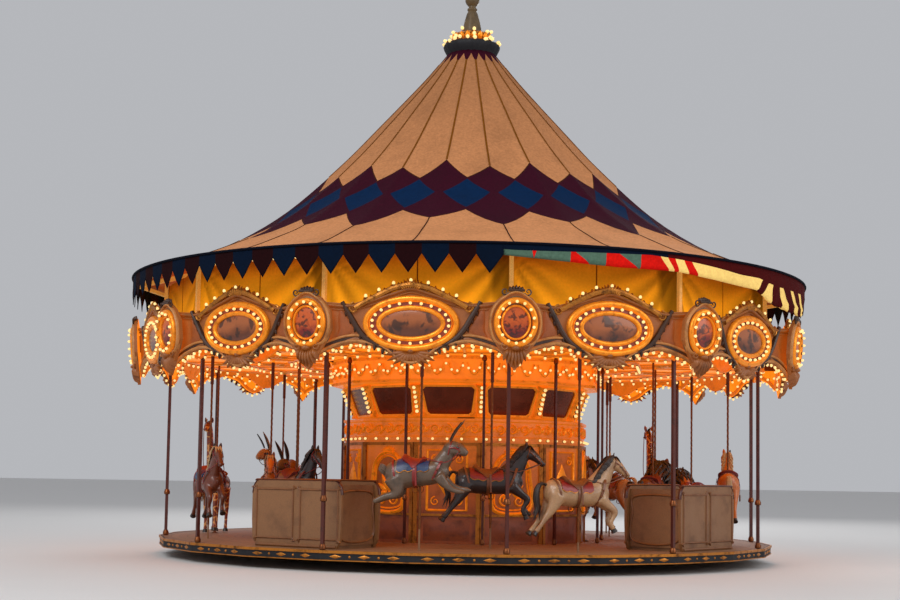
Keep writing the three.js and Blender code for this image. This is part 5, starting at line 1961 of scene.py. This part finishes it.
def mane_of(form, data):
    locks = []

    def lock(line, widths, heights, sides=6, across=(0, 1, 0)):
        locks.append(bar(line, widths, heights, sides, across))

    crest = smooth_line([(x, 0, z) for x, z in data["crest"]], 18) * MM if data["crest"] else []
    for k, p in enumerate(crest):
        for side in (-1, 1):
            if form == "GIRAFFE":
                steps = [(0.01, 0, -0.02), (-0.02, 0.008 * side, 0.012), (-0.055, 0.006 * side, -0.012)]
                lock(smooth_line(p + steps, 6), [0.012, 0.014, 0.013, 0.012, 0.008, 0.003], 0.016, 5)
                continue
            far = 0.085 if form == "HORSE" else 0.19 - 0.0035 * k
            drop = (0.18 if form == "HORSE" else 0.26) * (0.75 + 0.25 * math.sin(k * 2.1 + side))
            steps = [
                (0.005, 0, -0.03), (-0.02, 0.045 * side, 0.012), (-0.06, far * side, -drop * 0.4),
                (-0.07 - 0.02 * (k % 2), (far + 0.012) * side, -drop * 0.75),
                (-0.12, (far + 0.004) * side, -drop)
            ]
            sizes = taper(10, [0, 0.3, 0.8, 1], [0.020, 0.030, 0.022, 0.004])
            lock(wave(p + steps, 0.006 * side, 10, k), sizes, sizes * 0.55, across=(1, 0, 0))
    if form == "LION":
        for ring, (x, z, radius) in enumerate(((520, 300, 0.185), (420, 230, 0.225), (330, 140, 0.235))):
            for k in range(16):
                a = 2 * math.pi * (k + 0.5 * (ring % 2)) / 16
                out = np.array([0, math.sin(a), math.cos(a)])
                start = np.array([x, 0, z]) * MM + out * (radius - 0.05)
                points = [
                    start + (0.05, 0, 0), start + out * 0.045, start + out * 0.05 + (-0.09, 0, -0.02),
                    start + out * 0.02 + (-0.19, 0, -0.07)
                ]
                sizes = taper(8, [0, 0.3, 0.7, 1], [0.03, 0.048, 0.036, 0.006])
                lock(wave(points, 0.012, 8, k), sizes, sizes * 0.6, across=np.cross(out, (1, 0, 0.01)))
    if form == "HORSE":
        sizes = [0.018, 0.02, 0.02, 0.019, 0.016, 0.013, 0.009, 0.003]
        for y in (-0.022, 0.0, 0.022):
            points = [
                (0.585, y, 0.575), (0.625, y * 1.5, 0.585), (0.665, y * 2, 0.545), (0.70, y * 2.2, 0.49)
            ]
            lock(smooth_line(points, 8), sizes, 0.010)
    tail = np.array([(x, 0, z) for x, z in data["tail"]]) * MM
    if form in ("HORSE", "GIRAFFE"):
        first, reach, fullness = (0, 0.045, 1.0) if form == "HORSE" else (2, 0.03, 0.6)
        for k in range(9):
            b = 2 * math.pi * k / 9
            spread = np.linspace(0.3, 1, len(tail) - first)[:, None] * reach
            points = tail[first:] + spread * np.array([math.cos(b) * 0.8, math.sin(b), 0])
            points[-1] += (0.03 * math.cos(b), 0.02 * math.sin(b), 0.06 * math.sin(3 * b))
            sizes = taper(16, [0, 0.25, 0.75, 1], [0.024, 0.030, 0.024, 0.004]) * fullness
            lock(wave(points, 0.02, 16, k), sizes, sizes * 0.8)
    if form == "LION":
        sizes = [0.02, 0.035, 0.05, 0.055, 0.052, 0.045, 0.033, 0.02, 0.006]
        lock(smooth_line(tail[2:], 9), sizes, 0.04, sides=8)
    if form == "HARE":
        for k in range(10):
            b = 2 * math.pi * k / 10
            points = [
                tail[0], tail[1] + (0, 0.05 * math.cos(b), 0.05 * math.sin(b)),
                tail[3] + (0, 0.02 * math.cos(b), 0.02 * math.sin(b))
            ]
            lock(smooth_line(points, 7), [0.03, 0.04, 0.042, 0.04, 0.034, 0.024, 0.01], 0.035)
    return gather(locks)


def ear_of(form, side, data):
    x, z, height, radius, spread = data["ears"]
    t = np.linspace(0, 1, 9)
    sweep = 0.62 if form == "HARE" else 0.12
    line = [x + sweep * height * t**1.5, side * (spread + 0.12 * height * t), z + height * t]
    path = np.stack(line, 1) * MM
    width = radius * MM * np.sin(math.pi * (0.18 + 0.8 * t)) ** 0.7
    shell = bar(path, width, width * 0.45, sides=10)
    within = path[1:-1] + (0.26 * radius * MM, side * 0.002, 0)
    return shell, bar(within, width[1:-1] * 0.6, width[1:-1] * 0.3, sides=8)


def body_of(form, data):
    """Coat, dark parts and eyes of one form."""
    spread = data["spread"] * MM
    bars = [limb(data["trunk"], sides=18), limb(data["neck"], sides=16), limb(data["head"], sides=14)]
    hooves = []
    for side in (-1, 1):
        fore = np.array(data["fore"], float)
        if side > 0:
            step = np.arange(len(fore))
            fore[:, 0] += 15 * step * 5 / len(fore)
            fore[:, 1] += 7 * step
        for leg in (fore, data["hind"]):
            bars.append(limb(leg, side * spread))
            if form in ("HORSE", "GIRAFFE"):
                (ax, az, _, _), (bx, bz, _, _) = leg[-2:]
                way = np.array([bx - ax, 0, bz - az], float)
                way /= np.linalg.norm(way)
                foot = np.array([bx, side * data["spread"], bz], float)
                path = np.array([foot + way * reach for reach in (-8, 6, 46, 50)]) * MM
                radii = [0.040, 0.043, 0.053, 0.050]
                hooves.append(bar(path, radii, radii, sides=12))
            else:
                foot = np.array([leg[-1][0], side * data["spread"], leg[-1][1]]) * MM
                for toe in (-0.026, 0.0, 0.026):
                    bars.append(ball(foot[0] + 0.035, foot[1] + toe, foot[2] - 0.004, 0.021, 0.024, 8))
        for x, y, z, radius, height in data["lumps"]:
            bars.append(ball(x * MM, side * y * MM, z * MM, radius * MM, height * MM))
    if form in ("LION", "GIRAFFE"):
        end = data["tail"][:4] if form == "LION" else data["tail"][:3]
        bars.append(limb([(x, z, 24, 24) for x, z in end], sides=8))
    coat, dark, shine = [blended(bars)], hooves, []
    for side in (-1, 1):
        shell, hollow = ear_of(form, side, data)
        coat.append(shell)
        dark.append(hollow)
        x, y, z, radius = (v * MM for v in data["eye"])
        shine.append(ball(x, side * y, z, radius, radius, 10))
        brow = [
            (x - 0.03, side * (y - 0.004), z + 0.006), (x, side * (y + 0.006), z + radius * 1.35),
            (x + 0.032, side * (y - 0.006), z + 0.004)
        ]
        coat.append(bar(brow, 0.008, 0.007, sides=6))
        x, y, z = (v * MM for v in data["nostril"])
        dark.append(ball(x, side * y, z, 0.010, 0.013, 8))
        if form == "GIRAFFE":
            horn = [(0.56, side * 0.03, 1.14), (0.553, side * 0.036, 1.20), (0.55, side * 0.038, 1.215)]
            radii = [0.014, 0.012, 0.018]
            coat.append(bar(horn, radii, radii, sides=8))
    x, z, w, h = data["head"][-2]
    mouth = [
        (x * MM + 0.012 * math.cos(b), w * 1.01 * MM * math.sin(b), (z - 0.35 * h) * MM)
        for b in np.linspace(-1.5, 1.5, 9)
    ]
    dark.append(bar(mouth, 0.004, 0.004, sides=5))
    return {
        "coat": gather(coat), "hair": mane_of(form, data), "dark": gather(dark), "eyes": gather(shine)
    }


SADDLE_RISE = [
    0.055, 0.075, 0.066, 0.046, 0.034, 0.028, 0.026, 0.026, 0.028, 0.03, 0.034, 0.044, 0.062, 0.07, 0.05
]
SADDLE_REACH = [30, 40, 46, 50, 52, 58, 66, 70, 68, 60, 50, 44, 38, 32, 26]


def harness_of(data):
    """Saddle, blanket, straps and fittings of one form."""
    trunk, neck, head = data["trunk"], data["neck"], data["head"]
    start, end = (v * MM for v in data["saddle"])
    xs = np.linspace(start - 0.07, end + 0.06, 15)
    lobes = [74 + 9 * abs(math.sin(k * math.pi / 3.5)) for k in range(15)]
    blanket = hugging(trunk, xs, lobes, np.full(15, BLANKET_PROUD), 0.016)
    hem = hugging(trunk, xs, [v + 3.5 for v in lobes], np.full(15, HEM_PROUD), 0.014)
    saddle = hugging(trunk, np.linspace(start, end, 15), SADDLE_REACH, SADDLE_RISE, 0.045)
    collar_x = trunk[-3][0] * MM - 0.02
    back, cheek, nose = head[1], head[2], head[-3]
    leather = [
        saddle, hoop(trunk, (start + end) / 2 + 0.02, 0.0, 0.026, 0.013),
        hoop(trunk, collar_x, 0.09, 0.020, 0.016), hoop(trunk, start - 0.10, -0.05, 0.016, 0.012),
        hoop(head, (nose[0] - 4) * MM, -0.012, 0.009, 0.007, 20),
        hoop(head, (back[0] + 8) * MM, 0.030, 0.009, 0.006, 20)
    ]
    gems = []
    for side in (-1, 1):
        a = np.array([nose[0] - 6, side * (nose[2] + 6), nose[1] + 4]) * MM
        b = np.array([cheek[0], side * (cheek[2] + 8), cheek[1] + 12]) * MM
        c = np.array([back[0] + 6, side * (back[2] + 8), back[1] + 20]) * MM
        leather.append(bar(smooth_line([a, b, c], 8), 0.005, 0.012, sides=4))
        low = np.array([nose[0] + 4, side * (nose[2] + 10), nose[1] - 22]) * MM
        middle = np.array([neck[1][0] + 70, side * (neck[1][2] + 34), neck[1][1] - 10]) * MM
        high = np.array([end - 0.01, side * 0.05, trunk[4][1] * MM + 0.235])
        leather.append(bar(smooth_line([low, middle, high], 16), 0.007, 0.007, sides=5))
        gems.append(ball(*low, 0.017, 0.017, 8))
        x = (start + end) / 2 + 0.05
        w = np.interp(x / MM, [r[0] for r in trunk], [r[2] for r in trunk]) * MM + 0.022
        strap = [
            (x, side * w * 0.96, 0.12), (x + 0.005, side * (w + 0.014), -0.02),
            (x + 0.01, side * (w + 0.010), -0.17)
        ]
        leather.append(bar(strap, 0.004, 0.013, sides=4))
        stirrup = [
            (x + 0.01 + 0.048 * math.sin(b), side * (w + 0.012), -0.225 + 0.055 * math.cos(b))
            for b in around_circle(14)
        ]
        gems.append(bar(stirrup, 0.011, 0.006, sides=6, ring=True))
    z, w, h = section(trunk, collar_x)
    for k in range(-4, 5):
        b = math.pi + k * 0.42
        place = (collar_x + 0.09 * math.cos(b), math.sin(b) * (w + 0.018), z + math.cos(b) * (h + 0.018))
        gems.append(ball(*place, 0.015, 0.015, 8))
    return {"leather": gather(leather), "cloth": blanket, "hem": hem, "brass": gather(gems)}


POLE_SIDES = 12
POLE, POLE_CORE, POLE_BORE, POLE_DRILL = 0.0200, 0.0180, 0.0174, 0.0188
TWIST_STEP, TWIST_DEPTH, TWIST_PITCH = 0.024, 0.0024, 0.30


def pole_rows(profile):
    """Rings through (height, radius, ripple); the ripple gives a pole its three twisted ridges."""
    a = around_circle(POLE_SIDES)
    rows = []
    for z, radius, ripple in profile:
        r = radius + ripple * np.cos(3 * (a + z * 2 * math.pi / TWIST_PITCH))
        rows.append(np.stack([r * np.sin(a), -r * np.cos(a), np.full(POLE_SIDES, z)], 1))
    return rows


def twisted(low, high):
    return [(z, POLE_CORE, TWIST_DEPTH) for z in np.arange(low, high, TWIST_STEP)]


def pole_of(rise):
    """Twisted brass pole at the axis. A sliding pole is hollow where the deck's spindle stands in it."""
    if rise is None:
        foot, head = [(0.3205, POLE, 0), (0.43, POLE, 0)], [(3.39, POLE, 0), (3.4995, POLE, 0)]
        flange = turned(
            [(0.058, 0.3205), (0.058, 0.333), (0.03, 0.341), (0.026, 0.37), (0.021, 0.385)], 16
        )
        return gather([skin(pole_rows([*foot, *twisted(0.44, 3.38), *head]), capped=True), flange])
    low, high = 0.54 + rise, 3.24 + rise
    outer = [(low, POLE, 0), (1.30 + rise, POLE, 0), *twisted(1.32 + rise, 2.76 + rise)]
    outer += [(2.78 + rise, POLE, 0), (high, POLE, 0), (high - 0.002, 0.010, 0)]
    inner = [(1.28 + rise, 0.004, 0), (1.279 + rise, POLE_BORE, 0), (low, POLE_BORE, 0)]
    points, faces = gather([skin(pole_rows(outer)), skin(pole_rows(inner))])
    n, last = len(outer) * POLE_SIDES, (len(outer) + 2) * POLE_SIDES
    faces += [list(range(n - POLE_SIDES, n)), list(range(n, n + POLE_SIDES))]
    for k in range(POLE_SIDES):
        after = (k + 1) % POLE_SIDES
        faces.append([k, after, last + after, last + k])
    collar = [(0.0205, 0.70 + rise), (0.027, 0.705 + rise), (0.027, 0.725 + rise), (0.0205, 0.73 + rise)]
    return gather([(points, faces), turned(collar, 12)])


def drilled(shape, top):
    """A coat with a blind hole from below, within the pole's wall, for the deck's spindle."""
    blank = piece("coat_blank", shape, "brass", None, tidy=False)
    hole = skin(pole_rows([(-1.3, POLE_DRILL, 0), (top, POLE_DRILL, 0)]), capped=True)
    drill = piece("pole_drill", hole, "brass", None)
    cut = blank.modifiers.new("cut", "BOOLEAN")
    cut.operation, cut.solver, cut.object = "DIFFERENCE", "EXACT", drill
    made = shape_of(blank)
    discard(blank)
    discard(drill)
    return made


SPINDLE_TOP = 0.96


def build_animals():
    made = {form: body_of(form, data) | harness_of(data) for form, data in FORMS.items()}
    hollow = {}
    for name, row, angle, form, coat, height, rise, kit in MENAGERIE:
        lift = (rise or 0) * MM
        body = "turntable" if rise is None else f"{name}_riser"
        leather, cloth = HARNESS[kit]
        paint = f"{coat}_coat"
        hair = {"HARE": paint, "LION": "dark_hair"}.get(
            form, "pale_hair" if coat in ("bay", "tawny") else "dark_hair"
        )
        finishes = {
            "coat": paint, "hair": hair, "dark": "hoof", "eyes": "eye_glass", "leather": leather,
            "cloth": cloth, "hem": "old_gilding", "brass": "brass"
        }
        for part, shape in made[form].items():
            if part == "coat" and rise is not None:
                if form not in hollow:
                    hollow[form] = drilled(shape, SPINDLE_TOP - height)
                shape = hollow[form]
            raised = (shape[0] + (0, 0, DECK_TOP + height + lift), shape[1])
            obj = piece(
                f"{name}_{part}", placed(raised, row, angle), finishes[part], body, tidy=part != "coat",
            )
            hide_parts(name)
        pole = pole_of(None if rise is None else lift)
        obj = piece(f"{name}_pole", placed(pole, row, angle), "brass", body)
        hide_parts(name)


# Chariots
CHARIOT_ROW = 4.52
PAD_GRID = 0.016
SWELL_PRESSURE, SWELL_FRAMES, SWELL_CAP = 4, 14, 0.016
BUTTON_RADIUS, BUTTON_DEPTH = 0.028, 0.55


def cushion(name, x, y, z):
    """A stuffed pad blown up by a short cloth simulation, with a grid of buttons pulled into its top."""
    rows = []
    a = around_circle(32)
    for t in np.linspace(-1, 1, 7):
        size = 1 - 0.06 * t * t
        px = np.sign(np.cos(a)) * np.abs(np.cos(a)) ** 0.35 * x * size
        py = np.sign(np.sin(a)) * np.abs(np.sin(a)) ** 0.35 * y * size
        rows.append(np.stack([px, py, np.full(32, t * z)], 1))
    obj = piece(name, skin(rows, capped=True), "seat_leather", None)
    remesh = obj.modifiers.new("remesh", "REMESH")
    remesh.mode, remesh.voxel_size = "VOXEL", PAD_GRID
    base = result_of(obj)
    obj.modifiers.clear()
    obj.data = base
    start, faces = shape_of(obj)
    swollen = start
    cloth = obj.modifiers.new("swell", "CLOTH")
    cloth.settings.use_pressure = True
    cloth.settings.uniform_pressure_force = SWELL_PRESSURE
    cloth.settings.effector_weights.gravity = 0
    for frame_number in range(1, SWELL_FRAMES + 1):
        bpy.context.scene.frame_set(frame_number)
    swollen = shape_of(obj)[0]
    obj.modifiers.clear()
    bpy.context.scene.frame_set(1)
    discard(obj)
    moved = swollen - start
    far = np.linalg.norm(moved, axis=1, keepdims=True)
    points = start + moved * np.minimum(1, SWELL_CAP / np.maximum(far, 1e-9))
    for bx in np.linspace(-0.6, 0.6, 4) * x:
        for by in (-0.45 * y, 0.45 * y):
            near = np.exp(-((points[:, 0] - bx) ** 2 + (points[:, 1] - by) ** 2) / BUTTON_RADIUS**2)
            points[:, 2] -= np.where(points[:, 2] > 0, near * z * BUTTON_DEPTH, 0)
    return points, faces


def facing_side(shape, degrees):
    """A shape drawn facing the front, turned about the chariot's middle."""
    return turn(shape[0], degrees), shape[1]


def build_chariots():
    """Cap rails, panel mouldings and cushions on the two plain boxes."""
    repaint("chariot_paint", "chariot_left", "chariot_right")
    pads = [cushion("seat_trial", 0.235, 0.44, 0.035), cushion("back_trial", 0.235, 0.43, 0.035)]
    cap = smooth_line(both_ways([(0.70, 1.043), (0.78, 1.022), (0.84, 0.953), (0.868, 0.83)]), 60)
    rails, mouldings = [], []
    panel_profile = round_profile(0.035, 0.545, 0.52)
    for side in (0, 180):
        rails.append(facing_side(bar([(x, -0.50, z) for x, z in cap], 0.036, 0.018, sides=8), side))
        foot_rail = moulding([(-0.78, 0.03), (0.78, 0.03)], round_profile(0.05, 0.545, 0.52))
        mouldings.append(facing_side(foot_rail, side))
        for left, right in ((-0.80 + 0.02, -0.06), (0.06 + 0.02, 0.80)):
            corners = [
                (left, 0.14), *[(right, 0.14)] * 2, *[(right, 0.90)] * 2, *[(left, 0.90)] * 2,
                (left, 0.14)
            ]
            panel = moulding(smooth_line(corners, 60, ring=True), panel_profile, ring=True)
            mouldings.append(facing_side(panel, side))
    end = smooth_line(
        [(-0.40, 0.15), (0.40, 0.15), (0.42, 0.60), (0.37, 0.86), (-0.37, 0.86), (-0.42, 0.60)], 60,
        ring=True
    )
    for side in (90, -90):
        mouldings.append(facing_side(moulding(end, round_profile(0.035, 0.805, 0.775), ring=True), side))
    for name, angle in (("chariot_left", -38), ("chariot_right", 45)):
        for label, shapes, finish in (
            ("rails", rails, "chariot_rail"), ("mouldings", mouldings, "chariot_trim")
        ):
            points, faces = gather(shapes)
            shape = placed((points + (0, 0, DECK_TOP + 0.0003), faces), CHARIOT_ROW, angle)
            piece(f"{name}_{label}", shape, finish)
        for hand in (-1, 1):
            for label, (p, faces) in zip(("seat", "back"), pads):
                if label == "seat":
                    points = p + (0.54 * hand, 0, 0.776)
                else:
                    points = np.stack([-p[:, 2] * hand, p[:, 1], p[:, 0]], 1) + (0.662 * hand, 0, 1.035)
                pad = piece(
                    f"{name}_{label}_{'front' if hand > 0 else 'rear'}",
                    placed((points, faces), CHARIOT_ROW, angle), "seat_leather", tidy=False,
                )


# Stage
AZIMUTH, PITCH, YAW, ROLL = (math.radians(degrees) for degrees in (-6.68, 4.54, 0.652, -0.92))
FLOOR_HALF = 400
FRAME_SHIFT = 0.06


def build_stage():
    stage = bpy.context.scene.carousel_stage
    span = (-FLOOR_HALF, FLOOR_HALF)
    ground = piece("studio_floor", block(span, span, (-0.05, -0.0005)), "pale_floor", None, rounded=False)
    scene = bpy.context.scene
    place = Vector((stage.distance * math.sin(AZIMUTH), -stage.distance * math.cos(AZIMUTH), stage.eye))
    heading = AZIMUTH + YAW
    forward = Vector(
        (-math.sin(heading) * math.cos(PITCH), math.cos(heading) * math.cos(PITCH), math.sin(PITCH))
    )
    right = Vector((math.cos(heading), math.sin(heading), 0))
    up = right.cross(forward)
    across = right * math.cos(ROLL) - up * math.sin(ROLL)
    above = right * math.sin(ROLL) + up * math.cos(ROLL)
    camera = bpy.data.cameras.new("view")
    camera.lens, camera.sensor_width = stage.lens, 36
    camera.shift_y = FRAME_SHIFT
    camera.clip_end = 200
    viewer = linked("view", camera)
    turned_to = Matrix((across, above, -forward)).transposed().to_4x4()
    viewer.matrix_world = Matrix.Translation(place) @ turned_to
    scene.camera = viewer
    for name, spot, height, size, share in (
        ("key", (-16, -22, 20), 4, 16, 1.0), ("fill", (20, -16, 12), 4, 16, 0.45),
        ("rim", (6, 24, 18), 5, 14, 0.6)
    ):
        lamp = bpy.data.lights.new(name, "AREA")
        lamp.energy, lamp.size = stage.key * share, size
        obj = linked(name, lamp)
        obj.location = spot
        obj.rotation_euler = (Vector((0, 0, height)) - Vector(spot)).to_track_quat("-Z", "Y").to_euler()
    world = bpy.data.worlds.new("studio")
    world.use_nodes = True
    background = world.node_tree.nodes["Background"].inputs
    background["Color"].default_value = (0.93, 0.95, 1.0, 1)
    background["Strength"].default_value = stage.sky
    scene.world = world
    scene.view_settings.view_transform = "Standard"


def prepare():
    TREES["axis"] = build_axis_tree()
    TREES["lamp"] = build_lamp_tree()
    GROUPS["aged"] = build_aging_group()
    GROUPS["weave"] = build_weave_group()
    GROUPS["bearing"] = build_bearing_group()
    build_finishes()


# Operators
class CarouselOperator:
    """Runs its makers in order"""

    bl_options = {"REGISTER", "UNDO"}
    makers = ()

    def execute(self, context):
        for maker in self.makers:
            maker()
        return {"FINISHED"}


class CAROUSEL_OT_stage(CarouselOperator, bpy.types.Operator):
    """Builds the finishes, the camera, the floor and the studio light"""

    bl_idname = "carousel.stage"
    bl_label = "Stage"
    makers = (prepare, build_stage)


class CAROUSEL_OT_roof(CarouselOperator, bpy.types.Operator):
    """Builds the striped roof cloth with its seams and piping"""

    bl_idname = "carousel.roof"
    bl_label = "Roof cloth"
    makers = (build_roof,)


class CAROUSEL_OT_valance(CarouselOperator, bpy.types.Operator):
    """Builds the pennants and the stretch that is turned up"""

    bl_idname = "carousel.valance"
    bl_label = "Valance"
    makers = (build_valance, build_turned_up_valance)


class CAROUSEL_OT_curtain(CarouselOperator, bpy.types.Operator):
    """Builds the lit curtain above the boards"""

    bl_idname = "carousel.curtain"
    bl_label = "Curtain"
    makers = (build_curtain,)


class CAROUSEL_OT_boards(CarouselOperator, bpy.types.Operator):
    """Builds the carving, medallions and lamps of the rounding boards"""

    bl_idname = "carousel.boards"
    bl_label = "Rounding boards"
    makers = (
        build_board_paint, build_arches, build_ribs, build_large_medallions, build_crests, build_pendants,
        build_small_medallions, build_arch_lamps,
    )


class CAROUSEL_OT_ceiling(CarouselOperator, bpy.types.Operator):
    """Builds the battens, rosettes and lamps of the ceiling"""

    bl_idname = "carousel.ceiling"
    bl_label = "Ceiling"
    makers = (build_ceiling, build_outer_skirt)


class CAROUSEL_OT_centre(CarouselOperator, bpy.types.Operator):
    """Builds the niches, mirrors and lamps round the centre"""

    bl_idname = "carousel.centre"
    bl_label = "Centre"
    makers = (build_casing, build_cornice)


class CAROUSEL_OT_platform(CarouselOperator, bpy.types.Operator):
    """Finishes the deck, its edge, the hangers and the sweeps"""

    bl_idname = "carousel.platform"
    bl_label = "Platform"
    makers = (build_platform, build_posts)


class CAROUSEL_OT_animals(CarouselOperator, bpy.types.Operator):
    """Builds the carved animals with their harness and poles"""

    bl_idname = "carousel.animals"
    bl_label = "Animals"
    makers = (build_animals,)


class CAROUSEL_OT_chariots(CarouselOperator, bpy.types.Operator):
    """Builds the chariots' rails, mouldings and cushions"""

    bl_idname = "carousel.chariots"
    bl_label = "Chariots"
    makers = (build_chariots,)


class CAROUSEL_OT_finial(CarouselOperator, bpy.types.Operator):
    """Builds the gilt crown and spire on the roof"""

    bl_idname = "carousel.finial"
    bl_label = "Finial"
    makers = (build_finial,)


OPERATORS = (
    CAROUSEL_OT_stage, CAROUSEL_OT_roof, CAROUSEL_OT_valance, CAROUSEL_OT_curtain, CAROUSEL_OT_boards,
    CAROUSEL_OT_ceiling, CAROUSEL_OT_centre, CAROUSEL_OT_platform, CAROUSEL_OT_animals,
    CAROUSEL_OT_chariots, CAROUSEL_OT_finial
)
SETTINGS = (
    ("carousel_cloth", ClothSettings), ("carousel_carving", CarvingSettings),
    ("carousel_lamps", LampSettings), ("carousel_animals", AnimalSettings),
    ("carousel_stage", StageSettings)
)


class CAROUSEL_PT_panel(bpy.types.Panel):
    """Lists the carousel's settings and operators"""

    bl_idname = "CAROUSEL_PT_panel"
    bl_label = "Fairground carousel"
    bl_space_type = "VIEW_3D"
    bl_region_type = "UI"
    bl_category = "Carousel"

    def draw(self, context):
        for operator in OPERATORS:
            self.layout.operator(operator.bl_idname)
        for name, settings in SETTINGS:
            box = self.layout.box()
            box.label(text=settings.__doc__)
            for key in settings.__annotations__:
                box.prop(getattr(context.scene, name), key)


def register():
    for name, settings in SETTINGS:
        bpy.utils.register_class(settings)
        setattr(bpy.types.Scene, name, PointerProperty(type=settings))
    for operator in OPERATORS:
        bpy.utils.register_class(operator)
    bpy.utils.register_class(CAROUSEL_PT_panel)


def unregister():
    bpy.utils.unregister_class(CAROUSEL_PT_panel)
    for operator in reversed(OPERATORS):
        bpy.utils.unregister_class(operator)
    for name, settings in reversed(SETTINGS):
        delattr(bpy.types.Scene, name)
        bpy.utils.unregister_class(settings)


def main():
    register()
    for operator in OPERATORS:
        getattr(bpy.ops.carousel, operator.bl_idname.split(".")[1])()


if __name__ == "__main__":
    main()
